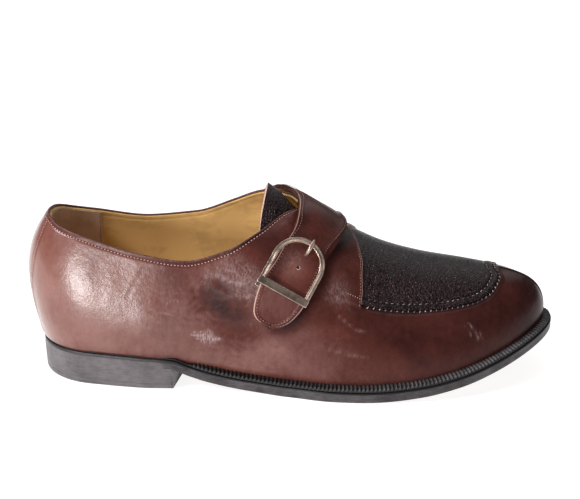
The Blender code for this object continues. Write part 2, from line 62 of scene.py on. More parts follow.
def tangents(x, y):
    # Slopes of a smooth curve through the points that never overshoots them
    step = np.diff(x)
    slope = np.diff(y) / step
    tangent = np.zeros(len(x))
    for i in range(1, len(x) - 1):
        if slope[i - 1] * slope[i] > 0:
            before = 2 * step[i] + step[i - 1]
            after = step[i] + 2 * step[i - 1]
            tangent[i] = (before + after) / (before / slope[i - 1] + after / slope[i])
    tangent[0], tangent[-1] = slope[0], slope[-1]
    return tangent


def rowTable(columns, *rows):
    # Named columns; the first one is what smoothAt() looks the others up by
    names = columns.split()
    data = {name: np.array([row[i] for row in rows], float) for i, name in enumerate(names)}
    data["key"] = data[names[0]]
    data["slopes"] = {name: tangents(data["key"], data[name]) for name in names}
    return data


# Half widths of the sole in shares of ballWidth
soleRows = rowTable(
    "along lateral medial",
    (0.00, 0.289, 0.278), (0.07, 0.318, 0.308), (0.12, 0.341, 0.316), (0.17, 0.364, 0.316),
    (0.22, 0.378, 0.304), (0.28, 0.376, 0.284), (0.33, 0.384, 0.268), (0.40, 0.406, 0.262),
    (0.48, 0.454, 0.282), (0.57, 0.515, 0.352), (0.66, 0.530, 0.440), (0.73, 0.520, 0.473),
    (0.80, 0.481, 0.461), (0.88, 0.414, 0.407), (0.94, 0.366, 0.361), (1.00, 0.327, 0.324))
# Height of the outsole's underside in shares of heelHeight
archRows = rowTable(
    "along up",
    (0.000, 1.030), (0.120, 1.020), (0.200, 0.980), (0.265, 0.880), (0.293, 0.640), (0.324, 0.420),
    (0.358, 0.250), (0.397, 0.120), (0.437, 0.045), (0.480, 0.000), (1.000, 0.000))
# How far the upper stands in from the sole's edge, in shares of weltWidth
ledgeRows = rowTable(
    "along inset",
    (0.00, -0.10), (0.10, -0.10), (0.22, 0.00), (0.28, 0.45), (0.35, 0.90), (0.60, 1.00),
    (0.80, 1.00), (1.00, 0.95))
# Top line of the last: the collar up to the throat, then the middle of instep, vamp and toe
lastRows = rowTable(
    "station along outLateral outMedial upLateral upMedial footAngle footReach topAngle topReach",
    (0.00, 0.021, 0.000, 0.000, 0.930, 0.930, 75, 0.45, 52, 0.40),
    (0.04, 0.0235, 0.065, 0.066, 0.926, 0.926, 76, 0.44, 55, 0.38),
    (0.08, 0.032, 0.124, 0.127, 0.914, 0.915, 77, 0.43, 60, 0.37),
    (0.12, 0.047, 0.175, 0.182, 0.890, 0.893, 77, 0.41, 64, 0.35),
    (0.20, 0.100, 0.245, 0.245, 0.843, 0.855, 78, 0.38, 72, 0.33),
    (0.30, 0.200, 0.292, 0.292, 0.767, 0.810, 78, 0.36, 80, 0.30),
    (0.38, 0.290, 0.317, 0.317, 0.733, 0.827, 74, 0.36, 80, 0.30),
    (0.44, 0.365, 0.310, 0.310, 0.793, 0.904, 74, 0.36, 66, 0.30),
    (0.49, 0.428, 0.250, 0.250, 0.894, 0.980, 76, 0.34, 40, 0.28),
    (0.53, 0.478, 0.125, 0.110, 0.965, 1.000, 78, 0.33, 15, 0.26),
    (0.56, 0.515, 0.000, 0.000, 0.955, 0.955, 80, 0.32, 0, 0.30),
    (0.60, 0.585, 0.000, 0.000, 0.836, 0.836, 83, 0.31, 0, 0.33),
    (0.67, 0.665, 0.000, 0.000, 0.724, 0.724, 85, 0.31, 0, 0.38),
    (0.75, 0.735, 0.000, 0.000, 0.664, 0.664, 86, 0.34, 0, 0.41),
    (0.84, 0.790, 0.000, 0.000, 0.634, 0.634, 86, 0.40, 0, 0.44),
    (0.92, 0.818, 0.000, 0.000, 0.620, 0.620, 86, 0.45, 0, 0.45),
    (1.00, 0.828, 0.000, 0.000, 0.615, 0.615, 86, 0.49, 0, 0.48))
# Rise of the apron's seam on each section, and station of the quarters' front edge on each rise
seamRows = rowTable(
    "station rise",
    (0.00, 0.46), (0.58, 0.45), (0.62, 0.443), (0.70, 0.457), (0.77, 0.464), (0.81, 0.496),
    (0.86, 0.590), (0.90, 0.672), (0.945, 0.765), (1.00, 0.805))
flapRows = rowTable(
    "rise station",
    (0.00, 0.588), (0.43, 0.591), (0.52, 0.598), (0.61, 0.604), (0.71, 0.611), (0.82, 0.6125),
    (1.00, 0.601))
flapStation = 0.603


def smoothAt(rows, column, at):
    x, y, tangent = rows["key"], rows[column], rows["slopes"][column]
    at = np.minimum(np.maximum(np.asarray(at, float), x[0]), x[-1])
    i = np.minimum(np.searchsorted(x, at, side="right") - 1, len(x) - 2)
    step = x[i + 1] - x[i]
    u = (at - x[i]) / step
    return ((2 * u**3 - 3 * u**2 + 1) * y[i] + (u**3 - 2 * u**2 + u) * step * tangent[i]
            + (3 * u**2 - 2 * u**3) * y[i + 1] + (u**3 - u**2) * step * tangent[i + 1])


def unit(vectors):
    return vectors / (np.linalg.norm(vectors, axis=-1, keepdims=True) + 1e-12)


def eased(value):
    # From 0 to 1 without a corner at either end
    value = np.clip(value, 0, 1)
    return value**2 * (3 - 2 * value)


def bell(distance, width, power=2):
    # 1 in the middle, fading out over a width
    return np.exp(-(distance / width)**power)


def shareAt(station):
    # A station is the angle of a horseshoe from heel to toe; this is its share of the length
    return (1 - np.cos(np.pi * np.asarray(station, float))) / 2


def stationAt(along):
    return math.acos(1 - 2 * along) / math.pi


def placeX(along):
    return (along - lastSizes["restAlong"]) * lastSizes["length"]


def middleAt(along):
    # The sole's middle line swings inwards towards the toe
    start = lastSizes["swingStart"]
    return lastSizes["toeSwing"] * (np.clip(along - start, 0, 1) / (1 - start))**2


def endRound(along):
    # Rounds the outline off at the heel and at the toe
    back = np.clip(1 - along / lastSizes["heelRound"], 0, 1)
    front = np.clip((along - lastSizes["toeStart"]) / lastSizes["toeRound"], 0, 1)
    return np.sqrt(1 - back**lastSizes["heelPower"]) * np.sqrt(1 - front**lastSizes["toePower"])


def soleEdge(station, side):
    along = shareAt(station)
    half = smoothAt(soleRows, "lateral" if side < 0 else "medial", along) * lastSizes["ballWidth"]
    return np.stack([placeX(along), middleAt(along) + side * half * endRound(along)], -1)


def outline(station, side, inset=0.0):
    # Plan points of the sole's edge, moved inwards by inset, and the inward directions
    station = np.asarray(station, float)
    step = 1e-4
    ahead, behind = np.clip(station + step, 0, 1), np.clip(station - step, 0, 1)
    run = unit(soleEdge(ahead, side) - soleEdge(behind, side))
    inward = np.stack([-run[..., 1], run[..., 0]], -1) * -side
    inward = np.where((station <= 1e-6)[..., None], [1.0, 0.0], inward)
    inward = np.where((station >= 1 - 1e-6)[..., None], [-1.0, 0.0], inward)
    return soleEdge(station, side) + inward * np.asarray(inset)[..., None], inward


def soleUnder(x):
    along = x / lastSizes["length"] + lastSizes["restAlong"]
    start = soleSizes["springStart"]
    spring = np.clip((along - start) / (1 - start), 0, None)**soleSizes["springPower"]
    arch = soleSizes["heelHeight"] * smoothAt(archRows, "up", along)
    return arch + soleSizes["toeSpring"] * spring


def soleTop(x):
    return soleUnder(x) + soleSizes["thickness"]


def topLine(station, side):
    word = "Lateral" if side < 0 else "Medial"
    along = smoothAt(lastRows, "along", station)
    out = smoothAt(lastRows, "out" + word, station) * lastSizes["ballWidth"] * side
    up = smoothAt(lastRows, "up" + word, station)
    both = (smoothAt(lastRows, "upLateral", station) + smoothAt(lastRows, "upMedial", station)) / 2
    up = np.where(np.asarray(station) >= lastSizes["throatStation"], both, up)
    height = lastSizes["instepHeight"]
    # The heel's back has a height of its own, and the instep leans inwards
    backShift = lastSizes["backHeight"] - lastRows["upLateral"][0] * height
    z = up * height + backShift * np.clip(1 - station / 0.4, 0, 1)
    lean = lastSizes["instepLean"] * np.clip((along - 0.2) / 0.3, 0, 1)
    return np.stack([placeX(along), middleAt(along) + lean + out, z], -1)


def onLast(station, rise, side):
    # The upper's outer surface before any step: one cubic curve from the sole to the top line
    station, rise = np.broadcast_arrays(np.asarray(station, float), np.asarray(rise, float))
    along = shareAt(station)
    ledge = smoothAt(ledgeRows, "inset", along) * soleSizes["weltWidth"] + lastSizes["gap"]
    plan, inward = outline(station, side, ledge)
    foot = np.concatenate([plan, (soleTop(plan[..., 0]) + lastSizes["seat"])[..., None]], -1)
    top = topLine(station, side)
    out = np.concatenate([-inward, np.zeros(inward.shape[:-1] + (1,))], -1)
    # The upper end of the curve follows the fall of the instep's middle line
    step = 2e-3
    ahead = topLine(np.clip(station + step, 0, 1), side)
    behind = topLine(np.clip(station - step, 0, 1), side)
    fall = (ahead[..., 2] - behind[..., 2]) / (ahead[..., 0] - behind[..., 0] + 1e-9)
    fall = fall * np.clip((station - 0.53) / 0.04, 0, 1)
    chord = np.linalg.norm(top - foot, axis=-1)
    # It heads across the shoe, along it at the toe, and straight out at the heel
    level = unit((top - foot) * [1, 1, 0])
    across = np.zeros_like(level)
    across[..., 1] = -side
    toe = np.clip((station - 0.66) / 0.34, 0, 1)[..., None]
    heel = np.clip(1 - station / 0.40, 0, 1)[..., None]
    inwards = unit((across * (1 - toe) + level * toe) * (1 - heel) - out * heel)
    inwards = unit(inwards + upward * (fall * inwards[..., 0])[..., None])

    def lean(towards, angle, reach):
        turn = np.radians(smoothAt(lastRows, angle, station))[..., None]
        length = (smoothAt(lastRows, reach, station) * chord)[..., None]
        return (towards * np.cos(turn) + upward * np.sin(turn)) * length

    low = foot + lean(out, "footAngle", "footReach")
    high = top - lean(inwards, "topAngle", "topReach")
    t = rise[..., None]
    return (1 - t)**3 * foot + 3 * (1 - t)**2 * t * low + 3 * (1 - t) * t**2 * high + t**3 * top


def outward(station, rise, side):
    # Outward directions of the surface, shared by both sides where they meet
    station, rise = np.broadcast_arrays(np.asarray(station, float), np.asarray(rise, float))
    step = 1e-3

    def raw(side):
        along = (onLast(np.clip(station + step, 0, 1), rise, side)
                 - onLast(np.clip(station - step, 0, 1), rise, side))
        rising = (onLast(station, np.clip(rise + step, 0, 1), side)
                  - onLast(station, np.clip(rise - step, 0, 1), side))
        return unit(np.cross(along, rising) * -side)

    here, other = raw(side), raw(-side)
    ridge = (rise >= 1 - 1e-6) & (station >= lastSizes["throatStation"] - 1e-6)
    shared = (station <= 1e-6) | (station >= 1 - 1e-6) | ridge
    return np.where(shared[..., None], unit(here + other), here)


def stationLength(station, rise, side):
    # Metres along the surface for one whole station
    step = 1e-3
    ahead, behind = onLast(station + step, rise, side), onLast(station - step, rise, side)
    return np.linalg.norm(ahead - behind, axis=-1) / (2 * step)


def seamRise(station):
    return smoothAt(seamRows, "rise", station)


def bowed(station, rise):
    # Stations near the quarters' front edge follow its bowed line
    shift = smoothAt(flapRows, "station", rise) - flapStation
    collar = np.where(station <= lastSizes["throatStation"], np.clip((1 - rise) / 0.05, 0, 1), 1.0)
    return station + shift * collar * np.clip(1 - np.abs(station - flapStation) / 0.09, 0, 1)


def between(before, start, end, after, u):
    # Catmull-Rom curve from start to end
    return 0.5 * (2 * start + (end - before) * u + (2 * before - 5 * start + 4 * end - after) * u**2
                  + (3 * start - before - 3 * end + after) * u**3)


def curveThrough(points, at):
    # A smooth curve through points, at places from 0 to 1
    points = np.asarray(points, float)
    padded = np.concatenate([[2 * points[0] - points[1]], points, [2 * points[-1] - points[-2]]])
    count = len(points) - 1
    travel = np.clip(np.asarray(at, float), 0, 1) * count
    i = np.minimum(travel.astype(int), count - 1)
    return between(padded[i], padded[i + 1], padded[i + 2], padded[i + 3], (travel - i)[..., None])


def markOnLast(side, marks, lift=0.0, count=60):
    # A line over the leather through (station, rise) marks: its points and the outward directions
    line = curveThrough(marks, np.linspace(0, 1, count))
    station, rise = np.clip(line[:, 0], 0, 1), np.clip(line[:, 1], 0, 1)
    normals = outward(station, rise, side)
    return onLast(station, rise, side) + normals * lift, normals


def nearest(points, line):
    # Distance of each point to the nearest point of a line
    flat = points.reshape(-1, 3)
    best = np.full(len(flat), 1e9)
    for target in line:
        best = np.minimum(best, np.einsum("ij,ij->i", flat - target, flat - target))
    return np.sqrt(best).reshape(points.shape[:-1])


def evenly(line, normals, pitch, start=0.0):
    # Places every pitch along a line, with the running and outward directions there
    run = np.concatenate([[0], np.cumsum(np.linalg.norm(np.diff(line, axis=0), axis=1))])
    at = np.arange(start + pitch / 2, run[-1], pitch)
    places = np.stack([np.interp(at, run, line[:, k]) for k in range(3)], -1)
    ahead = np.stack([np.interp(at + pitch * 0.2, run, line[:, k]) for k in range(3)], -1)
    behind = np.stack([np.interp(at - pitch * 0.2, run, line[:, k]) for k in range(3)], -1)
    out = unit(np.stack([np.interp(at, run, normals[:, k]) for k in range(3)], -1))
    return places, unit(ahead - behind), out


def shown(code):
    # sRGB hex to linear
    parts = [int(code[i:i + 2], 16) / 255 for i in (1, 3, 5)]
    linear = [part / 12.92 if part <= 0.04045 else ((part + 0.055) / 1.055)**2.4 for part in parts]
    return (*linear, 1.0)


def firstOutput(node):
    return next(socket for socket in node.outputs if socket.enabled)


def addNode(tree, kind, inputs=None, **settings):
    # Inputs are values, sockets or other nodes, which stand for their first output
    node = tree.nodes.new("ShaderNode" + kind)
    for name, value in settings.items():
        setattr(node, name, value)
    for name, value in (inputs or {}).items():
        value = firstOutput(value) if isinstance(value, bpy.types.Node) else value
        if isinstance(value, bpy.types.NodeSocket):
            tree.links.new(value, node.inputs[name])
        else:
            node.inputs[name].default_value = value
    return node


def newMaterial(name, **values):
    material = bpy.data.materials.new(name)
    material.use_nodes = True
    tree = material.node_tree
    shader = tree.nodes["Principled BSDF"]
    for key, value in values.items():
        shader.inputs[key.replace("_", " ")].default_value = value
    where = addNode(tree, "TexCoord").outputs["Object"]
    return material, tree, shader, where


def feed(tree, shader, **nodes):
    # Links nodes to the shader's sockets of these names
    for name, node in nodes.items():
        tree.links.new(firstOutput(node), shader.inputs[name.replace("_", " ")])


def only(piece):
    bpy.ops.object.select_all(action="DESELECT")
    piece.select_set(True)
    bpy.context.view_layer.objects.active = piece


def gridPiece(name, places, fields=None):
    # A grid primitive with each corner moved to its place
    rows, columns = places.shape[:2]
    bpy.ops.object.select_all(action="DESELECT")
    bpy.ops.mesh.primitive_grid_add(x_subdivisions=columns - 1, y_subdivisions=rows - 1, size=1)
    piece = bpy.context.object
    piece.name = piece.data.name = name
    piece.data.vertices.foreach_set("co", np.ascontiguousarray(places, np.float32).ravel())
    for field, values in (fields or {}).items():
        values = np.broadcast_to(values, (rows, columns)).astype(np.float32)
        piece.data.attributes.new(field, "FLOAT", "POINT").data.foreach_set("value", values.ravel())
    piece.data.update()
    return piece


def joined(name, pieces):
    only(pieces[0])
    for piece in pieces:
        piece.select_set(True)
    if len(pieces) > 1:
        bpy.ops.object.join()
    piece = bpy.context.object
    piece.name = piece.data.name = name
    return piece


def editAll(piece):
    only(piece)
    bpy.ops.object.mode_set(mode="EDIT")
    bpy.ops.mesh.select_all(action="SELECT")


def welded(piece, reach=0.01 * mm):
    editAll(piece)
    bpy.ops.mesh.remove_doubles(threshold=reach)
    bpy.ops.mesh.dissolve_degenerate(threshold=0.001 * mm)
    bpy.ops.mesh.select_all(action="SELECT")
    bpy.ops.mesh.normals_make_consistent(inside=False)
    bpy.ops.object.mode_set(mode="OBJECT")
    return piece


def addModifier(piece, kind, **settings):
    only(piece)
    modifier = piece.modifiers.new(kind.lower(), kind)
    for name, value in settings.items():
        setattr(modifier, name, value)
    bpy.ops.object.modifier_apply(modifier=modifier.name)
    return piece


def turnedOut(piece, middle):
    # Faces of an open sheet are turned away from a point inside
    middle = Vector(middle)
    total = sum((face.center - middle).dot(face.normal) * face.area for face in piece.data.polygons)
    if total < 0:
        editAll(piece)
        bpy.ops.mesh.flip_normals()
        bpy.ops.object.mode_set(mode="OBJECT")
    return piece


def dressed(piece, materials):
    # Given before Solidify, so that its rim and underside get the second and third
    if not piece.data.materials:
        for material in materials:
            piece.data.materials.append(material)


def finished(piece, materials, replaces=(), smooth=50):
    only(piece)
    dressed(piece, materials)
    if smooth:
        bpy.ops.object.shade_smooth_by_angle(angle=math.radians(smooth))
    else:
        bpy.ops.object.shade_smooth()
    bpy.ops.object.transform_apply(location=True, rotation=True, scale=True)
    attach(piece, "root")
    if replaces:
        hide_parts(*replaces)
    print("made", piece.name, len(piece.data.polygons), "faces")
    return piece


def copiesAlong(name, template, places, ahead, out, turn=0.0):
    # One mesh of many copies of a small template, each with its own place and directions
    mesh = template.data
    corners = np.empty(len(mesh.vertices) * 3, np.float32)
    mesh.vertices.foreach_get("co", corners)
    corners = corners.reshape(-1, 3)
    side = unit(np.cross(out, ahead))
    ahead = unit(np.cross(side, out))
    turn = np.broadcast_to(turn, len(places))[:, None]
    first = ahead * np.cos(turn) + side * np.sin(turn)
    second = unit(np.cross(out, first))
    along, across, up = [corners[None, :, k, None] for k in range(3)]
    points = places[:, None] + along * first[:, None] + across * second[:, None] + up * out[:, None]
    faces = [tuple(face.vertices) for face in mesh.polygons]
    count = len(corners)
    cells = [tuple(corner + count * k for corner in face)
             for k in range(len(places)) for face in faces]
    made = bpy.data.meshes.new(name)
    made.from_pydata(points.reshape(-1, 3).tolist(), [], cells)
    piece = bpy.data.objects.new(name, made)
    bpy.context.scene.collection.objects.link(piece)
    return piece


def stitchTemplate(length, width, height):
    # A thread's visible loop: a rounded bar pinched down at both ends
    bpy.ops.object.select_all(action="DESELECT")
    bpy.ops.mesh.primitive_uv_sphere_add(segments=8, ring_count=6, radius=0.5)
    piece = bpy.context.object
    piece.name = "stitchTemplate"
    editAll(piece)
    bpy.ops.transform.rotate(value=math.pi / 2, orient_axis="Y", center_override=(0, 0, 0))
    bpy.ops.transform.resize(value=(length, width, height), center_override=(0, 0, 0))
    bpy.ops.object.mode_set(mode="OBJECT")
    return piece


def dropped(piece):
    bpy.data.objects.remove(piece, do_unlink=True)


# Colours as they look on the shoe, in sRGB, turned linear below
tones = {
    "calfLight": "#895749", "calf": "#5e3029", "calfDark": "#2a1110", "calfHaze": "#b7a09e",
    "calfEdge": "#d3a99c", "pebbled": "#0b0708", "pebbledTop": "#241519", "pebbledWorn": "#4a3a3b",
    "pebbledSheen": "#ffd6dc", "lining": "#e2b674", "liningWornAndShade": "#9a7442", "suede": "#bfa38e",
    "suedeWornAndLit": "#dcbea4", "soleEdge": "#2f2a2c", "soleWorn": "#7a7476", "soleFace": "#7d5b42",
    "soleFaceWorn": "#4d3a2f", "topPiece": "#2b2a2b", "welt": "#151213", "weltWorn": "#6d6466",
    "brass": "#dac2b0", "brassDull": "#84706a",
    "threadRose": "#bf887d", "threadWine": "#8a544b", "threadDark": "#33201f",
    "threadPale": "#5c4f4b", "threadLit": "#c6bab3", "hole": "#140c0c",
}
tones = {name: shown(code) for name, code in tones.items()}


def calfLeather(name, seed=0.0):
    # Aniline-dyed calf, plated smooth and polished: clouded brown with fine pores, a soft gloss,
    # darker where it was burnished and pale where it is rubbed
    material, tree, shader, where = newMaterial(
        name, Roughness=0.36, IOR=1.48, Specular_IOR_Level=0.14, Coat_Roughness=0.28, Coat_IOR=1.62)
    cloud = addNode(tree, "TexNoise", {
        "Vector": where, "Scale": 1 / (34 * mm), "Detail": 5.0, "Roughness": 0.62, "W": seed},
        noise_dimensions="4D")
    brush = addNode(tree, "Mapping", {"Vector": where, "Scale": (0.8, 1.0, 0.55)})
    fine = addNode(tree, "TexNoise", {
        "Vector": brush, "Scale": 1 / (2.6 * mm), "Detail": 5.0, "Roughness": 0.7})
    # Tone runs from light (-1) over the plain colour (0) to burnished (1), clouded and specked;
    # painted shade in the creases, the strap's painted shadow and a painted sheen come in through
    # it too
    tone = addNode(tree, "Attribute", attribute_name="tone")
    haze = addNode(tree, "Attribute", attribute_name="haze")
    cut = addNode(tree, "Attribute", attribute_name="cut")
    clouds = addNode(tree, "MapRange", {
        "Value": cloud, "From Min": 0.3, "From Max": 0.7, "To Min": -0.28, "To Max": 0.28})
    specks = addNode(tree, "MapRange", {
        "Value": fine, "From Min": 0.3, "From Max": 0.7, "To Min": -0.11, "To Max": 0.11})
    depth = addNode(tree, "Math", {0: tone.outputs["Fac"], 1: clouds}, operation="ADD")
    depth = addNode(tree, "Math", {0: depth, 1: specks}, operation="ADD")
    lighter = addNode(tree, "MapRange", {"Value": depth, "From Min": 0.0, "From Max": -1.0})
    darker = addNode(tree, "MapRange", {"Value": depth, "From Min": 0.0, "From Max": 1.0})
    colour = addNode(tree, "Mix", {
        0: lighter, 6: tones["calf"], 7: tones["calfLight"]}, data_type="RGBA")
    colour = addNode(tree, "Mix", {
        0: darker, 6: colour, 7: tones["calfDark"]}, data_type="RGBA")
    # Rubbed places break up into fine hairs, and are duller; the haze also carries a painted sheen
    # on the quarter and a painted highlight along the collar's top edge
    scrape = addNode(tree, "Mapping", {
        "Vector": where, "Rotation": (0.0, 0.9, 0.3), "Scale": (1.0, 1.0, 0.22)})
    hairs = addNode(tree, "TexNoise", {
        "Vector": scrape, "Scale": 1 / (0.9 * mm), "Detail": 4.0, "Roughness": 0.7})
    rubbed = addNode(tree, "MapRange", {
        "Value": hairs, "From Min": 0.42, "From Max": 0.62, "To Min": 0.10, "To Max": 1.0})
    rubbed = addNode(tree, "Math", {
        0: rubbed, 1: haze.outputs["Fac"]}, operation="MULTIPLY", use_clamp=True)
    colour = addNode(tree, "Mix", {
        0: rubbed, 6: colour, 7: tones["calfHaze"]}, data_type="RGBA")
    colour = addNode(tree, "Mix", {
        0: cut.outputs["Fac"], 6: colour, 7: tones["calfEdge"]}, data_type="RGBA")
    gloss = addNode(tree, "MapRange", {
        "Value": cloud, "From Min": 0.3, "From Max": 0.7, "To Min": 0.24, "To Max": 0.35})
    gloss = addNode(tree, "Math", {0: rubbed, 1: 0.22, 2: gloss}, operation="MULTIPLY_ADD")
    # The coat is shoe polish: thick on the rubbed heel, gone from the dark leather in front
    polish = addNode(tree, "MapRange", {
        "Value": depth, "From Min": -0.45, "From Max": 0.35, "To Min": 1.0, "To Max": 0.0})
    # Hair pores are 0.3 mm apart, drawn at 0.9 mm so that they show; the hide is uneven over 6 mm
    pores = addNode(tree, "TexVoronoi", {"Vector": where, "Scale": 1 / (0.9 * mm)})
    hide = addNode(tree, "TexNoise", {
        "Vector": where, "Scale": 1 / (6 * mm), "Detail": 5.0, "Roughness": 0.55})
    relief = addNode(tree, "Math", {
        0: pores.outputs["Distance"], 1: 0.10, 2: hide}, operation="MULTIPLY_ADD")
    relief = addNode(tree, "Math", {0: rubbed, 1: 0.4, 2: relief}, operation="MULTIPLY_ADD")
    bump = addNode(tree, "Bump", {"Height": relief, "Strength": 0.45, "Distance": 0.50 * mm})
    feed(tree, shader, Base_Color=colour, Roughness=gloss, Coat_Weight=polish,
         Normal=bump, Coat_Normal=bump)
    return material


def pebbledLeather(name):
    # Calf, drum-dyed black-brown and embossed with a pebble grain: dark, with a dry rosy sheen
    material, tree, shader, where = newMaterial(
        name, Roughness=0.30, IOR=1.48, Specular_IOR_Level=0.30, Coat_Roughness=0.30,
        Specular_Tint=tones["pebbledSheen"])
    # A little noise bends the grid of pebbles
    bend = addNode(tree, "TexNoise", {"Vector": where, "Scale": 1 / (5 * mm), "Detail": 2.0})
    shift = addNode(tree, "VectorMath", {
        0: bend.outputs["Color"], "Scale": 0.9 * mm}, operation="SCALE")
    spread = addNode(tree, "VectorMath", {0: where, 1: shift}, operation="ADD")
    # Pebbles are about 1.1 mm across, drawn at 1.6 mm so that they show
    pebbles = addNode(tree, "TexVoronoi", {
        "Vector": spread, "Scale": 1 / (1.6 * mm), "Randomness": 0.95}, feature="DISTANCE_TO_EDGE")
    tops = addNode(tree, "MapRange", {
        "Value": pebbles.outputs["Distance"], "From Min": 0.02, "From Max": 0.30},
        interpolation_type="SMOOTHSTEP")
    cloud = addNode(tree, "TexNoise", {
        "Vector": where, "Scale": 1 / (22 * mm), "Detail": 4.0, "Roughness": 0.6})
    worn = addNode(tree, "Math", {0: tops, 1: cloud}, operation="MULTIPLY")
    colour = addNode(tree, "Mix", {
        0: worn, 6: tones["pebbled"], 7: tones["pebbledTop"]}, data_type="RGBA")
    tone = addNode(tree, "Attribute", attribute_name="tone")
    grit = addNode(tree, "TexNoise", {
        "Vector": where, "Scale": 1 / (3.0 * mm), "Detail": 3.0, "Roughness": 0.6})
    flecks = addNode(tree, "MapRange", {
        "Value": grit, "From Min": 0.30, "From Max": 0.70, "To Min": 0.3})
    rubbed = addNode(tree, "Math", {0: flecks, 1: tops}, operation="MULTIPLY")
    rubbed = addNode(tree, "Math", {
        0: rubbed, 1: tone.outputs["Fac"]}, operation="MULTIPLY", use_clamp=True)
    colour = addNode(tree, "Mix", {
        0: rubbed, 6: colour, 7: tones["pebbledWorn"]}, data_type="RGBA")
    # Dry and dull where it is rubbed near the seam, with more sheen over the instep
    gloss = addNode(tree, "MapRange", {
        "Value": tone.outputs["Fac"], "From Max": 0.5, "To Min": 0.16, "To Max": 0.0})
    bump = addNode(tree, "Bump", {"Height": tops, "Strength": 1.0, "Distance": 0.38 * mm})
    feed(tree, shader, Base_Color=colour, Coat_Weight=gloss, Normal=bump, Coat_Normal=bump)
    return material


def liningLeather(name):
    # Vegetable-tanned lining, undyed: matt tan, browned by the foot in clouds and streaks
    material, tree, shader, where = newMaterial(
        name, Roughness=0.62, IOR=1.45, Specular_IOR_Level=0.25)
    cloud = addNode(tree, "TexNoise", {
        "Vector": where, "Scale": 1 / (26 * mm), "Detail": 6.0, "Roughness": 0.65})
    streaks = addNode(tree, "Mapping", {"Vector": where, "Scale": (0.35, 1.0, 1.0)})
    streak = addNode(tree, "TexNoise", {
        "Vector": streaks, "Scale": 1 / (5 * mm), "Detail": 4.0, "Roughness": 0.6})
    both = addNode(tree, "Math", {0: streak, 1: 0.4, 2: cloud}, operation="MULTIPLY_ADD")
    stainAndShade = addNode(tree, "MapRange", {
        "Value": both, "From Min": 0.66, "From Max": 1.0, "To Max": 0.75})
    # The tone attribute adds painted shade deep inside the shoe to the stains
    deep = addNode(tree, "Attribute", attribute_name="tone")
    stainAndShade = addNode(tree, "Math", {
        0: stainAndShade, 1: deep.outputs["Fac"]}, operation="ADD", use_clamp=True)
    colour = addNode(tree, "Mix", {
        0: stainAndShade, 6: tones["lining"], 7: tones["liningWornAndShade"]}, data_type="RGBA")
    # The grain's wrinkles are about half a millimetre apart, drawn at 1.2 mm so that they show
    grain = addNode(tree, "TexNoise", {
        "Vector": where, "Scale": 1 / (1.2 * mm), "Detail": 4.0, "Roughness": 0.6})
    bump = addNode(tree, "Bump", {"Height": grain, "Strength": 0.30, "Distance": 0.2 * mm})
    feed(tree, shader, Base_Color=colour, Normal=bump)
    return material


def suedeLining(name):
    # Suede split with the nap out: it scatters light, so it has no gloss and a soft sheen
    material, tree, shader, where = newMaterial(
        name, Roughness=0.92, Specular_IOR_Level=0.2, Sheen_Weight=0.35, Sheen_Roughness=0.5)
    cloud = addNode(tree, "TexNoise", {
        "Vector": where, "Scale": 1 / (14 * mm), "Detail": 6.0, "Roughness": 0.7})
    # The tone attribute paints light on towards the counter's front edges
    tone = addNode(tree, "Attribute", attribute_name="tone")
    blend = addNode(tree, "MapRange", {"Value": cloud, "From Min": 0.42, "From Max": 0.72})
    blend = addNode(tree, "Math", {
        0: blend, 1: tone.outputs["Fac"]}, operation="ADD", use_clamp=True)
    colour = addNode(tree, "Mix", {
        0: blend, 6: tones["suede"], 7: tones["suedeWornAndLit"]}, data_type="RGBA")
    # The nap is finer than 0.7 mm, which is the least that shows
    nap = addNode(tree, "TexNoise", {
        "Vector": where, "Scale": 1 / (0.7 * mm), "Detail": 3.0, "Roughness": 0.7})
    bump = addNode(tree, "Bump", {"Height": nap, "Strength": 0.5, "Distance": 0.3 * mm})
    feed(tree, shader, Base_Color=colour, Normal=bump)
    return material


def inkedEdge(name):
    # Stacked sole leather, trimmed, inked black-grey and ironed with wax: satin, greyed by scuffs
    material, tree, shader, where = newMaterial(
        name, Roughness=0.42, IOR=1.47, Specular_IOR_Level=0.30)
    cloud = addNode(tree, "TexNoise", {
        "Vector": where, "Scale": 1 / (16 * mm), "Detail": 6.0, "Roughness": 0.7})
    # The stack's fibres lie flat, in layers of about 0.8 mm
    layers = addNode(tree, "Mapping", {"Vector": where, "Scale": (0.12, 0.12, 1.0)})
    strata = addNode(tree, "TexNoise", {
        "Vector": layers, "Scale": 1 / (0.8 * mm), "Detail": 3.0, "Roughness": 0.6})
    both = addNode(tree, "Math", {0: strata, 1: 0.5, 2: cloud}, operation="MULTIPLY_ADD")
    wear = addNode(tree, "MapRange", {
        "Value": both, "From Min": 0.6, "From Max": 0.95, "To Max": 0.42})
    scuffed = addNode(tree, "Attribute", attribute_name="tone")
    wear = addNode(tree, "Math", {
        0: wear, 1: scuffed.outputs["Fac"]}, operation="ADD", use_clamp=True)
    colour = addNode(tree, "Mix", {
        0: wear, 6: tones["soleEdge"], 7: tones["soleWorn"]}, data_type="RGBA")
    bump = addNode(tree, "Bump", {"Height": both, "Strength": 0.25, "Distance": 0.15 * mm})
    feed(tree, shader, Base_Color=colour, Normal=bump)
    return material


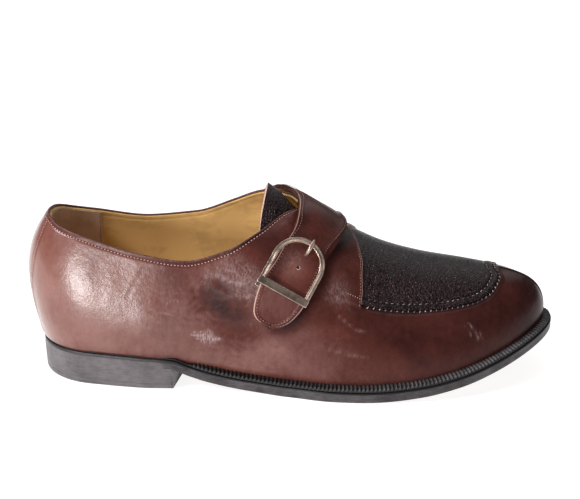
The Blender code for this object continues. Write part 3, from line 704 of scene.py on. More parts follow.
def soleFace(name):
    # Oak-tanned sole leather, walked on: matt brown, greyed and scratched along the tread
    material, tree, shader, where = newMaterial(name, Roughness=0.72, IOR=1.45)
    cloud = addNode(tree, "TexNoise", {
        "Vector": where, "Scale": 1 / (30 * mm), "Detail": 8.0, "Roughness": 0.7})
    scratchRun = addNode(tree, "Mapping", {
        "Vector": where, "Rotation": (0.0, 0.0, 0.4), "Scale": (0.06, 1.0, 1.0)})
    scratch = addNode(tree, "TexNoise", {
        "Vector": scratchRun, "Scale": 1 / (0.8 * mm), "Detail": 3.0, "Roughness": 0.6})
    both = addNode(tree, "Math", {0: scratch, 1: 0.5, 2: cloud}, operation="MULTIPLY_ADD")
    wear = addNode(tree, "MapRange", {"Value": both, "From Min": 0.55, "From Max": 0.95})
    colour = addNode(tree, "Mix", {
        0: wear, 6: tones["soleFace"], 7: tones["soleFaceWorn"]}, data_type="RGBA")
    bump = addNode(tree, "Bump", {"Height": both, "Strength": 0.5, "Distance": 0.3 * mm})
    feed(tree, shader, Base_Color=colour, Normal=bump)
    return material


def weltFinish(name):
    # Storm welt leather, dyed black and wheeled into ribs: the rib tops are rubbed grey
    material, tree, shader, where = newMaterial(name, Roughness=0.45, Specular_IOR_Level=0.4)
    top = addNode(tree, "Attribute", attribute_name="tone")
    cloud = addNode(tree, "TexNoise", {
        "Vector": where, "Scale": 1 / (5 * mm), "Detail": 4.0, "Roughness": 0.65})
    rubbed = addNode(tree, "MapRange", {
        "Value": cloud, "From Min": 0.35, "From Max": 0.65, "To Min": 0.25})
    worn = addNode(tree, "Math", {
        0: rubbed, 1: top.outputs["Fac"]}, operation="MULTIPLY", use_clamp=True)
    colour = addNode(tree, "Mix", {
        0: worn, 6: tones["welt"], 7: tones["weltWorn"]}, data_type="RGBA")
    bump = addNode(tree, "Bump", {"Height": cloud, "Strength": 0.3, "Distance": 0.1 * mm})
    feed(tree, shader, Base_Color=colour, Normal=bump)
    return material


def castBrass(name):
    # Antiqued brass, cast and tumbled: pale where it is rubbed, brown where the lacquer has dulled
    material, tree, shader, where = newMaterial(name, Metallic=1.0)
    cloud = addNode(tree, "TexNoise", {
        "Vector": where, "Scale": 1 / (7 * mm), "Detail": 3.0, "Roughness": 0.5})
    dull = addNode(tree, "MapRange", {
        "Value": cloud, "From Min": 0.38, "From Max": 0.62, "To Max": 0.6})
    browned = addNode(tree, "Attribute", attribute_name="tone")
    dull = addNode(tree, "Math", {
        0: dull, 1: browned.outputs["Fac"]}, operation="ADD", use_clamp=True)
    colour = addNode(tree, "Mix", {
        0: dull, 6: tones["brass"], 7: tones["brassDull"]}, data_type="RGBA")
    tumbled = addNode(tree, "TexNoise", {
        "Vector": where, "Scale": 1 / (2.5 * mm), "Detail": 2.0, "Roughness": 0.5})
    gloss = addNode(tree, "MapRange", {
        "Value": tumbled, "From Min": 0.35, "From Max": 0.65, "To Min": 0.24, "To Max": 0.36})
    bump = addNode(tree, "Bump", {"Height": tumbled, "Strength": 0.12, "Distance": 0.05 * mm})
    feed(tree, shader, Base_Color=colour, Roughness=gloss, Normal=bump)
    return material


def plainFinish(name, base, worn, roughness, size, **values):
    # A plain dyed surface with a second, worn colour in clouds of the given size
    material, tree, shader, where = newMaterial(name, Roughness=roughness, **values)
    cloud = addNode(tree, "TexNoise", {
        "Vector": where, "Scale": 1 / size, "Detail": 4.0, "Roughness": 0.65})
    blend = addNode(tree, "MapRange", {"Value": cloud, "From Min": 0.42, "From Max": 0.70})
    colour = addNode(tree, "Mix", {
        0: blend, 6: tones[base], 7: tones[worn]}, data_type="RGBA")
    bump = addNode(tree, "Bump", {"Height": cloud, "Strength": 0.3, "Distance": 0.1 * mm})
    feed(tree, shader, Base_Color=colour, Normal=bump)
    return material


calf = calfLeather("calfLeather")
strapCalf = calfLeather("strapCalf", seed=2.0)
pebbled = pebbledLeather("pebbledCalf")
lining = liningLeather("liningLeather")
suede = suedeLining("suedeLining")
edgeInk = inkedEdge("inkedSoleEdge")
soleUnderside = soleFace("soleLeather")
# Rubber top piece, moulded: dead matt black-grey
topRubber = plainFinish("topPieceRubber", "topPiece", "soleEdge", 0.75, 9 * mm)
weltLeather = weltFinish("weltLeather")
# Cut leather edge, skived and painted rose-beige: it stays matt
cutEdge = plainFinish("paintedEdge", "calfEdge", "calfHaze", 0.55, 3 * mm)
# Strap's cut edge, inked brown and burnished with wax
strapEdge = plainFinish("inkedStrapEdge", "calfDark", "calf", 0.5, 3 * mm, Specular_IOR_Level=0.2)
antiqueBrass = castBrass("antiqueBrass")
# Bonded nylon sewing threads: tight, slightly waxed
roseThread = plainFinish("roseThread", "threadRose", "calfHaze", 0.6, 1.5 * mm)
wineThread = plainFinish("wineThread", "threadWine", "threadRose", 0.6, 4 * mm)
darkThread = plainFinish("darkThread", "threadDark", "calfDark", 0.6, 1.5 * mm)
# The apron's thread is grey, with painted highlights in clouds (threadLit)
paleThread = plainFinish("paleThread", "threadPale", "threadLit", 0.55, 9 * mm)
# Needle holes and the strap's holes: dark marks of painted shade
needleHole = plainFinish("needleHole", "hole", "threadDark", 0.9, 1.0 * mm)
print("materials made")


outsoleSettings = {
    "stations": 260, "grooveInset": 5.5 * mm, "grooveDepth": 0.35 * mm, "grooveHalf": 0.9 * mm,
    "grooveFloor": 0.3 * mm, "edgeHollow": 0.12 * mm, "heelRandAndShade": 1.7 * mm, "randChange": 0.29,
    "heelScuff": 0.30, "scuffEnd": 0.34,
}


def makeOutsole():
    # A closed section at each station: top, inked edge with a shallow groove, and the underside
    sizes = outsoleSettings
    thick, corner = soleSizes["thickness"], soleSizes["edgeRound"]
    stations = np.linspace(0, 1, sizes["stations"])
    rand, hollow = sizes["heelRandAndShade"], sizes["edgeHollow"]
    edge = [(corner, thick), (0.35 * corner, thick - 0.12 * corner),
            (0.05 * corner, thick - 0.5 * corner), (0.0, thick - corner), (0.0, thick - rand),
            (hollow, 0.58 * thick), (hollow, 0.40 * thick), (0.0, corner),
            (0.10 * corner, 0.45 * corner), (0.45 * corner, 0.10 * corner), (corner, 0.0)]
    groove, deep = sizes["grooveInset"], sizes["grooveDepth"]
    wide, narrow = sizes["grooveHalf"], sizes["grooveFloor"]
    under = [(groove - wide, 0.0), (groove - narrow, deep), (groove + narrow, deep),
             (groove + wide, 0.0)]
    loops = []
    for side in (lateral, medial):
        half = []
        for inset, height in edge + under:
            width = np.abs(soleEdge(stations, side)[:, 1] - middleAt(shareAt(stations)))
            plan, _ = outline(stations, side, np.minimum(inset, 0.45 * width))
            half.append(np.stack([plan[:, 0], plan[:, 1], soleUnder(plan[:, 0]) + height], -1))
        loops.append(half)
    across = np.linspace(0, 1, 14)[1:-1]
    bottom = [loops[0][-1] * (1 - a) + loops[1][-1] * a for a in across]
    top = [loops[1][0] * (1 - a) + loops[0][0] * a for a in (0.25, 0.5, 0.75)]
    ring = loops[0] + bottom + loops[1][::-1] + top
    places = np.stack(ring + ring[:1], 1)
    rubbed = sizes["heelScuff"] * eased((sizes["scuffEnd"] - stations) / 0.02)[:, None]
    piece = welded(gridPiece("outsoleBody", places, {"tone": rubbed}))
    finished(piece, [edgeInk, soleUnderside, weltLeather], ["outsole"], smooth=40)
    # The sole's upper corner takes the dark welt finish: a dark line for the rand, with painted
    # shade of the gap under the upper
    for face in piece.data.polygons:
        atHeel = face.center.x < placeX(sizes["randChange"])
        high = face.center.z > soleTop(face.center.x) - (rand if atHeel else 1.05 * corner)
        face.material_index = 2 if high else 1 if face.normal.z < -0.8 else 0
    return piece


heelSettings = {
    "stations": 90, "liftLine": 3.2 * mm, "lineDepth": 0.22 * mm, "lineHalf": 0.25 * mm,
    "breastCurve": 1.6 * mm, "scuff": 0.30,
}


def makeHeel():
    # Stacked heel with its top piece marked by a fine line round the foot of the stack
    sizes = heelSettings
    taper, corner = soleSizes["heelTaper"], soleSizes["edgeRound"]
    line, deep, wide = sizes["liftLine"], sizes["lineDepth"], sizes["lineHalf"]
    # Inset from the sole's edge, share of the height there, or None, and height on top of it
    rows = [(0.5 * mm, 1.0, corner), (-0.03 * mm, 1.0, corner), (0.25 * taper, 0.75, 0.0),
            (0.5 * taper, 0.45, 0.0), (0.7 * taper, None, line + wide),
            (0.7 * taper + deep, None, line), (0.7 * taper, None, line - wide),
            (taper, None, corner), (taper + 0.3 * corner, None, 0.3 * corner),
            (taper + corner, None, 0.0)]
    ends = {lateral: stationAt(soleSizes["heelEndLateral"]),
            medial: stationAt(soleSizes["heelEndMedial"])}
    at = np.linspace(0, 1, sizes["stations"])
    loops = {}
    for side in (lateral, medial):
        loops[side] = []
        for inset, share, height in rows:
            stations = at * ends[side]
            width = np.abs(soleEdge(stations, side)[:, 1] - middleAt(shareAt(stations)))
            plan, _ = outline(stations, side, np.minimum(inset, 0.6 * width))
            top = soleUnder(plan[:, 0])
            z = top * share + height if share is not None else np.full(len(at), height)
            loops[side].append(np.stack([plan[:, 0], plan[:, 1], z], -1))
    across = np.linspace(0, 1, 12)[1:-1]
    bottom = [loops[lateral][-1] * (1 - a) + loops[medial][-1] * a for a in across]
    top = [loops[medial][0] * (1 - a) + loops[lateral][0] * a for a in across]
    ring = loops[lateral] + bottom + loops[medial][::-1] + top
    places = np.stack(ring + ring[:1], 1)
    shell = gridPiece("heelStack", places, {"tone": sizes["scuff"]})
    # The breast: rows carry on from the last section to its middle, hollowed a little
    last = places[-1]
    centre = last[:-1].mean(0)
    shrink = np.linspace(0, 1, 7)
    breast = np.stack([last * (1 - k) + centre * k for k in shrink], 0)
    breast[:, :, 0] -= (sizes["breastCurve"] * (1 - (1 - shrink)**2))[:, None]
    piece = welded(joined("heelStack", [shell, gridPiece("heelBreast", breast)]))
    finished(piece, [edgeInk, topRubber], ["heel"], smooth=40)
    for face in piece.data.polygons:
        low = face.center.z < line - 0.3 * mm
        face.material_index = 1 if low and face.normal.z < -0.8 else 0
    return piece


weltSettings = {
    "ribPitch": 2.35 * mm, "ribDepth": 0.75 * mm, "stepsPerRib": 10, "start": 0.290,
    "innerHeight": 3.0 * mm, "randHeight": 1.0 * mm, "randInset": 0.15 * mm, "fadeIn": 9 * mm,
    "leastWidth": 0.4 * mm, "routePoints": 900,
}


def makeWelt():
    # Ribbed welt from waist to waist round the toe; behind it a plain dark rand runs round the heel
    sizes = weltSettings
    fineCount = sizes["routePoints"]
    fine = np.linspace(0, 1, fineCount)
    plans = [outline(fine, side)[0] for side in (lateral, medial)]
    route = np.concatenate([plans[0], plans[1][::-1][1:]])
    sides = np.concatenate([np.full(fineCount, lateral), np.full(fineCount - 1, medial)])
    stationsRound = np.concatenate([fine, fine[::-1][1:]])
    run = np.concatenate([[0], np.cumsum(np.linalg.norm(np.diff(route, axis=0), axis=1))])
    starts = []
    for side in (lateral, medial):
        k = np.where(sides == side)[0]
        starts.append(run[k[np.argmin(np.abs(stationsRound[k] - stationAt(sizes["start"])))]])
    count = int(run[-1] / sizes["ribPitch"]) * sizes["stepsPerRib"]
    at = run[-1] * np.arange(count) / count
    travel = np.interp(at, run, np.arange(len(route)))
    isLateral = travel < fineCount - 0.5
    places = np.arange(fineCount)
    station = np.where(isLateral, np.interp(travel, places, fine),
                       np.interp(travel, places + fineCount - 1, fine[::-1]))
    ribbed = eased((at - starts[0]) / sizes["fadeIn"]) * eased((starts[1] - at) / sizes["fadeIn"])
    wave = 0.5 - 0.5 * np.cos(2 * np.pi * at / sizes["ribPitch"])
    groove = sizes["ribDepth"] * ribbed * wave**1.6
    worn = (1 - wave)**1.5 * ribbed * eased((station - 0.42) / 0.25)
    # Cross-section from the foot of the upper, over the wheeled top, to the sole's edge
    section = [(0.00, 0.00, 0.0), (0.00, 1.00, 0.0), (0.18, 1.03, 0.5), (0.45, 0.90, 1.0),
               (0.75, 0.76, 1.0), (0.93, 0.66, 1.0), (1.00, 0.52, 0.8), (1.00, 0.25, 0.4),
               (0.99, 0.00, 0.0)]
    strips, tops = [], []
    for part, height, depth in section:
        tops.append(worn * depth * (height > 0.3))
        points = np.zeros((count, 3))
        for side in (lateral, medial):
            mask = isLateral if side == lateral else ~isLateral
            s = station[mask]
            edgeInset = soleSizes["edgeRound"] + sizes["randInset"] * (1 - ribbed[mask])
            edge, inward = outline(s, side, edgeInset)
            foot = onLast(s, np.full(len(s), 0.01), side)[:, :2] + inward * (0.2 * mm)
            tall = sizes["randHeight"] + (sizes["innerHeight"] - sizes["randHeight"]) * ribbed[mask]
            flat = np.einsum("ij,ij->i", foot - edge, inward) < sizes["leastWidth"]
            foot = np.where(flat[:, None], edge + inward * sizes["leastWidth"], foot)
            plan = foot * (1 - part) + edge * part
            z = soleTop(plan[:, 0]) + lastSizes["gap"] + tall * height - groove[mask] * depth
            plan = plan + inward * (groove[mask] * depth * 0.6)[:, None]
            points[mask] = np.concatenate([plan, z[:, None]], -1)
        strips.append(points)
    places = np.stack(strips + strips[:1], 0)
    places = np.concatenate([places, places[:, :1]], 1)
    tops = np.stack(tops + tops[:1], 0)
    tops = np.concatenate([tops, tops[:, :1]], 1)
    piece = welded(gridPiece("weltRibbed", places, {"tone": tops}))
    return finished(piece, [weltLeather], ["welt"], smooth=60)


insoleSettings = {
    "stations": 90, "across": 20, "dish": 1.4 * mm, "thickness": 3.2 * mm, "clear": 1.2 * mm,
    "sockLift": 0.25 * mm,
}


def makeInsole():
    # Sock leather over the insole: slightly dished under the heel and the ball
    sizes = insoleSettings
    stations = np.linspace(0, 1, sizes["stations"])
    ledge = smoothAt(ledgeRows, "inset", shareAt(stations)) * soleSizes["weltWidth"]
    inset = ledge + lastSizes["wall"] + sizes["clear"]
    edges = [outline(stations, side, inset)[0] for side in (lateral, medial)]
    rows = []
    for a in np.linspace(0, 1, sizes["across"]):
        plan = edges[0] * (1 - a) + edges[1] * a
        hollow = sizes["dish"] * (4 * a * (1 - a))**0.7
        level = soleTop(plan[:, 0]) + lastSizes["seat"] + sizes["thickness"] + sizes["sockLift"]
        rows.append(np.concatenate([plan, (level - hollow)[:, None]], -1))
    places = np.stack(rows, 0)
    piece = turnedOut(gridPiece("insoleSock", places), (0.1, 0, -1))
    addModifier(piece, "SOLIDIFY", thickness=sizes["thickness"] - sizes["dish"], offset=-1.0)
    return finished(welded(piece), [lining], ["insole"])


# Half width of the backstay on each rise, as a station
backstayRows = rowTable(
    "rise station", (0.00, 0.052), (0.30, 0.056), (0.61, 0.066), (0.85, 0.073), (1.00, 0.080))

upperSettings = {
    "stations": 300, "innerRows": 14, "flapRise": 1.2 * mm, "flapFade": 0.07, "flapRun": 3 * mm,
    "flapRound": 0.5 * mm, "seamLip": 1.0 * mm, "lipOut": 1.3 * mm, "lipWidth": 1.1 * mm,
    "recess": 1.5 * mm, "recessOut": 0.2 * mm, "recessRun": 0.9 * mm, "backstayStep": 0.35 * mm,
    "backstayStitch": 1.4 * mm, "backstayGroove": 0.25 * mm, "collarRoll": 0.55 * mm,
    "collarStitch": 2.3 * mm, "stitchGroove": 0.30 * mm, "grooveWidth": 0.55 * mm,
    "tuckDepth": 0.9 * mm, "tuckHeight": 1.1 * mm, "tuckEnd": 0.34,
}

# Creases and dents, with painted shade in them: (station, rise) marks, depth, half width
creases = {
    lateral: [
        ([(0.428, 0.76), (0.438, 0.715), (0.452, 0.675), (0.470, 0.65)], 0.32 * mm, 2.6 * mm),
        ([(0.440, 0.82), (0.452, 0.78), (0.464, 0.76)], 0.14 * mm, 2.0 * mm),
        ([(0.405, 0.60), (0.425, 0.53), (0.450, 0.49)], 0.30 * mm, 5.0 * mm),
        ([(0.309, 0.822), (0.296, 0.70), (0.284, 0.561)], 0.09 * mm, 1.1 * mm),
        ([(0.352, 0.60), (0.338, 0.52), (0.318, 0.46)], 0.07 * mm, 1.4 * mm),
        ([(0.372, 0.66), (0.352, 0.66), (0.330, 0.60)], 0.06 * mm, 1.5 * mm),
        ([(0.640, 0.34), (0.668, 0.30), (0.700, 0.235)], 0.18 * mm, 5.5 * mm),
        ([(0.610, 0.30), (0.640, 0.22), (0.662, 0.13)], 0.16 * mm, 5.0 * mm),
        ([(0.690, 0.36), (0.716, 0.29), (0.735, 0.20)], 0.12 * mm, 3.6 * mm)],
    medial: [
        ([(0.640, 0.36), (0.668, 0.29), (0.690, 0.18)], 0.55 * mm, 4.0 * mm),
        ([(0.675, 0.37), (0.700, 0.28), (0.715, 0.17)], 0.40 * mm, 3.4 * mm),
        ([(0.600, 0.32), (0.630, 0.24), (0.650, 0.12)], 0.45 * mm, 4.2 * mm),
        ([(0.400, 0.62), (0.430, 0.58), (0.455, 0.60)], 0.5 * mm, 5.0 * mm)],
}
# Rubbed and dulled places, and one painted sheen: station, rise, radius, amount of haze
hazes = {
    lateral: [
        (0.447, 0.86, 9 * mm, 0.24), (0.462, 0.75, 8 * mm, 0.30), (0.395, 0.315, 4.2 * mm, 0.70),
        (0.240, 0.62, 26 * mm, 0.12), (0.330, 0.66, 20 * mm, 0.10), (0.478, 0.47, 9 * mm, 0.12),
        # (0.568, 0.46) is a painted sheen on the quarter just behind its front edge
        (0.568, 0.46, 7 * mm, 0.30), (0.300, 0.40, 9 * mm, 0.22)],
    medial: [
        (0.300, 0.55, 16 * mm, 0.10), (0.430, 0.40, 10 * mm, 0.12)],
}
# Scratches: (station, rise) marks, half width, amount of haze
scratches = {
    lateral: [
        ([(0.744, 0.335), (0.748, 0.27), (0.749, 0.20)], 0.5 * mm, 0.55),
        ([(0.737, 0.32), (0.739, 0.24)], 0.4 * mm, 0.30),
        ([(0.755, 0.25), (0.757, 0.19)], 0.4 * mm, 0.30),
        ([(0.345, 0.56), (0.352, 0.60), (0.366, 0.61)], 0.4 * mm, 0.30),
        ([(0.398, 0.345), (0.402, 0.325), (0.411, 0.312)], 0.45 * mm, 0.8),
        ([(0.378, 0.350), (0.386, 0.332), (0.400, 0.322)], 0.55 * mm, 0.75),
        ([(0.374, 0.318), (0.388, 0.312), (0.408, 0.300)], 0.55 * mm, 0.80),
        ([(0.380, 0.290), (0.392, 0.296), (0.404, 0.318)], 0.50 * mm, 0.75),
        ([(0.388, 0.362), (0.394, 0.340), (0.398, 0.300)], 0.50 * mm, 0.70),
        ([(0.300, 0.470), (0.318, 0.430), (0.330, 0.370)], 0.45 * mm, 0.35),
        ([(0.308, 0.500), (0.330, 0.470), (0.352, 0.455)], 0.45 * mm, 0.30),
        ([(0.290, 0.420), (0.300, 0.380), (0.306, 0.330)], 0.50 * mm, 0.30),
        ([(0.560, 0.360), (0.575, 0.320), (0.590, 0.305)], 0.45 * mm, 0.25),
        ([(0.540, 0.215), (0.560, 0.190), (0.585, 0.180)], 0.50 * mm, 0.25)],
    medial: [
        ([(0.72, 0.30), (0.735, 0.24)], 0.4 * mm, 0.4)],
}
# Burnished places, or light ones where it is negative, one of them a painted sheen: station, rise,
# radius, amount of tone
burnishes = {
    lateral: [
        (0.412, 0.68, 10 * mm, 0.45), (0.425, 0.58, 12 * mm, 0.40), (0.430, 0.42, 15 * mm, 0.42),
        (0.475, 0.36, 13 * mm, 0.25), (0.500, 0.88, 16 * mm, 0.55), (0.600, 0.40, 14 * mm, 0.30),
        (0.36, 0.90, 12 * mm, 0.25), (0.640, 0.28, 17 * mm, 0.15), (0.52, 0.30, 16 * mm, 0.15),
        # (0.570, 0.60), made lighter, is a painted sheen on the quarter just behind its front edge
        (0.870, 0.62, 16 * mm, -0.28), (0.570, 0.60, 10 * mm, -0.45), (0.16, 0.30, 18 * mm, 0.12),
        (0.330, 0.30, 16 * mm, 0.14), (0.44, 0.16, 22 * mm, -0.15), (0.480, 0.24, 9 * mm, -0.20),
        (0.600, 0.14, 12 * mm, -0.18), (0.240, 0.80, 12 * mm, 0.10)],
    medial: [
        (0.10, 0.20, 22 * mm, -0.35), (0.30, 0.15, 24 * mm, -0.25), (0.60, 0.30, 18 * mm, 0.25),
        (0.45, 0.85, 16 * mm, 0.25)],
}
# The strap's painted shadow on the quarter: how dark, how wide, and its shift
strapShadow = {"amount": 1.25, "width": 4.2 * mm, "shift": (1.4 * mm, 0.0, -0.8 * mm)}


def leatherFields(points, station, rise, side):
    # Tone along the shoe, from rubbed heel to burnished toe, with the patches laid over it
    tone = (-0.50 + 0.55 * eased((station - 0.18) / 0.36) + 0.50 * eased((station - 0.50) / 0.12)
            + 0.45 * eased((station - 0.66) / 0.30))
    tone = tone + 0.12 * eased((rise - 0.55) / 0.4) * eased((0.75 - station) / 0.3)
    haze = np.zeros_like(tone)
    x, z = points[..., 0], points[..., 2]
    # Waves a few millimetres long make the patches' outlines ragged
    ragged = 1 + 0.30 * (np.sin(520 * x + 2.5 * np.sin(430 * z))
                         * np.sin(640 * z + 2.2 * np.sin(390 * x)))

    def fromSpot(s, r):
        return np.linalg.norm(points - onLast(s, r, side), axis=-1) * ragged

    def fromMarks(marks):
        return nearest(points, markOnLast(side, marks, count=40)[0])

    for s, r, radius, amount in burnishes[side]:
        tone = tone + amount * bell(fromSpot(s, r), radius)
    # Painted shadow where the strap's front edge lies over the quarter
    if side == lateral:
        place = np.linspace(0.25, 1, 60)
        edge = strapPoints(place, 0.5 + strapHalf(place)) + np.array(strapShadow["shift"])
        tone = tone + strapShadow["amount"] * bell(nearest(points, edge), strapShadow["width"])
    for s, r, radius, amount in hazes[side]:
        haze = np.maximum(haze, amount * bell(fromSpot(s, r), radius, 3))
    for marks, width, amount in scratches[side]:
        haze = np.maximum(haze, amount * bell(fromMarks(marks), width))
    # Painted shade in the creases, darker for deeper ones
    for marks, depth, width in creases[side]:
        tone = tone + 0.70 * bell(fromMarks(marks), 0.6 * width) * min(depth / mm, 1)
    return tone, haze


def reliefAt(points, side):
    # Troughs with a soft ridge on both sides of them
    relief = np.zeros(points.shape[:-1])
    for marks, depth, width in creases[side]:
        far = nearest(points, markOnLast(side, marks, count=40)[0]) / width
        relief += depth * (0.35 * bell(far - 1.9, 0.8) - bell(far, 1))
    return relief


def stationRows(count):
    # Stations crowd at the quarters' front edge, so that its step stays sharp
    flap, throat = flapStation, lastSizes["throatStation"]
    behind = [0.0052, 0.0036, 0.0024, 0.0016, 0.0010, 0.0006, 0.0003]
    ahead = [0.0002, 0.0008, 0.0020, 0.0040]
    plain = [s for s in np.linspace(0, 1, count)
             if abs(s - flap) > 0.0062 and abs(s - throat) > 0.002]
    around = [flap - c for c in behind] + [flap] + [flap + c for c in ahead]
    return np.array(sorted(plain + around + [throat]))


def riseRows(seam):
    # Rises crowd at the apron's seam and under the top line; seam is one rise a station
    close = np.array([0.030, 0.024, 0.019, 0.0150, 0.0118, 0.0090, 0.0066, 0.0045, 0.0026, 0.0012])
    below = np.linspace(0, 1, 30)[None, :] * (seam - 0.036)
    share = np.concatenate([[0.0, 0.004, 0.016], np.linspace(0.05, 0.90, 26)])
    above = seam + (1 - seam) * share[None, :]
    top = 1 - (1 - above[:, -1:]) * np.linspace(0.9, 0.0, 13)[None, :]
    return np.concatenate([below, seam - close[None, :], above, top], 1)


def skinGrid(side, stations, rises, offset=0.0):
    # Points and outward directions of one side's surface; rises has a row for each station
    column = stations[:, None]
    station = np.where((column <= 0) | (column >= 1), column, bowed(column, rises))
    out = outward(station, rises, side)
    return onLast(station, rises, side) + out * np.asarray(offset)[..., None], out


def makeUpper():
    # One shell: on each side an outer and an inner skin, the rolled rim and a strip at the foot
    sizes = upperSettings
    throat = lastSizes["throatStation"]
    stations = stationRows(sizes["stations"])
    seam = seamRise(stations)[:, None]
    rises = riseRows(seam)
    innerRises = np.linspace(1, 0, sizes["innerRows"])[None, :].repeat(len(stations), 0)
    plain = {"tone": 0.0, "haze": 0.0, "cut": 0.0}
    shells = []
    for side in (lateral, medial):
        points, out = skinGrid(side, stations, rises)
        unbowed = np.broadcast_to(stations[:, None], rises.shape)
        run = np.linalg.norm(np.gradient(points, axis=0), axis=-1) / np.gradient(stations)[:, None]
        rising = np.linalg.norm(np.diff(points, axis=1), axis=-1)
        height = np.concatenate([np.zeros((len(stations), 1)), np.cumsum(rising, 1)], 1)
        chord = height[:, -1:]
        fromSeam, fromTop = (rises - seam) * chord, chord - height
        atCollar, ahead = unbowed < throat, unbowed > flapStation + 1e-6
        # Quarters over the vamp, with a rounded cut edge in front
        fade = np.clip((unbowed - flapStation + sizes["flapFade"]) / sizes["flapFade"], 0, 1)
        lift = eased((fromSeam + sizes["flapRun"]) / sizes["flapRun"])
        lift = sizes["flapRise"] * eased(fade) * lift
        toEdge = (flapStation - unbowed) * run
        rounding = 1 - np.clip(1 - toEdge / sizes["flapRound"], 0, 1)**2
        rounding = np.sqrt(np.clip(rounding, 0, 1))
        lift = lift * np.where(unbowed > flapStation, 0, 0.25 + 0.75 * rounding)
        # In front of the edge the vamp dips under the apron, with a turned-up lip along the seam
        lip = sizes["seamLip"] * bell(fromSeam + sizes["lipOut"], sizes["lipWidth"])
        dip = -sizes["recess"] * eased((fromSeam + sizes["recessOut"]) / sizes["recessRun"])
        offset = np.where(ahead, lip * eased((unbowed - flapStation) / 0.01) + dip, lift)
        # Backstay, laid on as a thin step that narrows downwards, with its stitches in a groove
        backEdge = (smoothAt(backstayRows, "station", rises) - unbowed) * run
        offset = offset + sizes["backstayStep"] * eased(backEdge / (0.5 * mm) + 0.5)
        backGroove = bell(backEdge - sizes["backstayStitch"], 0.5 * mm)
        offset = offset - sizes["backstayGroove"] * backGroove
        # The collar's stitches lie in a groove; at the heel the leather is tucked in at the foot
        groove = bell(fromTop - sizes["collarStitch"], sizes["grooveWidth"])
        offset = offset - np.where(atCollar, sizes["stitchGroove"] * groove, 0)
        tuck = bell(height, sizes["tuckHeight"]) * eased((sizes["tuckEnd"] - unbowed) / 0.06)
        offset = offset + reliefAt(points, side) - sizes["tuckDepth"] * tuck
        # Darker along the tuck, the collar, the seam, the foot and the backstay; in the tuck at the
        # heel the darkening is painted shade
        tone, haze = leatherFields(points, unbowed, rises, side)
        tone = (tone + 0.6 * tuck + np.where(atCollar, 0.50 * bell(fromTop, 2.8 * mm, 4), 0)
                + np.where(ahead, 0.5 * bell(fromSeam, 2.0 * mm), 0) + 0.35 * bell(height, 3.0 * mm)
                + 0.25 * bell(backEdge + 0.4 * mm, 0.6 * mm))
        # A painted highlight along the collar's top edge
        haze = np.maximum(haze, np.where(atCollar, 0.30 * bell(fromTop, 0.35 * mm), 0))
        cut = 0.7 * eased((0.80 * mm - toEdge) / (0.4 * mm))
        cut = np.where(~ahead & (fromSeam > 0), cut, 0)
        points = points + out * offset[..., None]
        shells.append(gridPiece("outer", points, {"tone": tone, "haze": haze, "cut": cut}))
        thin = -sizes["recess"] * (unbowed[:, :1] > flapStation) - lastSizes["leather"]
        inner, _ = skinGrid(side, stations, innerRises, thin)
        shells.append(gridPiece("inner", inner, plain))
        # Rolled top edge, dying out at the throat
        collar = np.where(stations <= throat)[0]
        climb = unit(points[collar, -1] - points[collar, -3])
        roll = sizes["collarRoll"] * eased((throat - stations[collar]) / 0.03)
        rim = []
        for turn in np.linspace(0, math.pi, 7):
            share = (1 - math.cos(turn)) / 2
            base = points[collar, -1] * (1 - share) + inner[collar, 0] * share
            rim.append(base + climb * (roll * math.sin(turn))[:, None])
        # The rim is darker, with a faint painted highlight through its haze
        shells.append(gridPiece("rim", np.stack(rim, 1), plain | {"tone": 0.45, "haze": 0.18}))
        foot = np.stack([points[:, 0], inner[:, -1]], 1)
        shells.append(gridPiece("foot", foot, plain | {"tone": 0.5}))
    piece = welded(joined("upperShell", shells), reach=0.005 * mm)
    return finished(piece, [calf], ["upper"], smooth=62)


liningSettings = {
    "stations": 150, "rows": 40, "channelDrop": 3.0 * mm, "channelDepth": 0.22 * mm,
    "counterEnd": 0.205, "counterLift": 0.45 * mm, "counterThickness": 0.4 * mm,
}


def makeLining():
    # The lining stands inside the leather and stops just under the rolled edge
    sizes = liningSettings
    throat = lastSizes["throatStation"]
    stations = np.array(sorted(list(np.linspace(0, 1, sizes["stations"])) + [throat]))
    rises = np.concatenate([np.linspace(0, 0.9, sizes["rows"] - 12), np.linspace(0.91, 0.993, 12)])
    rises = rises[None, :].repeat(len(stations), 0)
    closed = stations >= throat
    rises[closed] = rises[closed] / rises[0, -1]
    collar = np.where(~closed)[0]
    collar = np.append(collar, collar[-1] + 1)
    # Painted shade: darker lower down inside and towards the toe
    deep = 0.20 * eased((0.70 - rises) / 0.5) + 0.25 * eased((stations - 0.5) / 0.3)[:, None]
    shells = []
    for side in (lateral, medial):
        front, out = skinGrid(side, stations, rises, -lastSizes["wall"])
        chord = np.linalg.norm(front[:, -1] - front[:, 0], axis=-1)[:, None]
        # A second, inner row of stitches shows as a shallow channel under the collar
        channel = bell((1 - rises) * chord - sizes["channelDrop"], 0.7 * mm)
        channel = channel * (stations < throat)[:, None]
        front = front + out * (sizes["channelDepth"] * channel)[..., None]
        back, _ = skinGrid(side, stations, rises, -(lastSizes["leather"] + 0.1 * mm))
        edge = np.stack([front[collar, -1], back[collar, -1]], 1)
        shells += [gridPiece("front", front, {"tone": deep}),
                   gridPiece("back", back[:, ::-1], {"tone": 0.0}),
                   gridPiece("edge", edge, {"tone": 0.2}),
                   gridPiece("foot", np.stack([front[:, 0], back[:, 0]], 1), {"tone": 0.5})]
    piece = welded(joined("liningShell", shells), reach=0.005 * mm)
    return finished(piece, [lining], smooth=60)


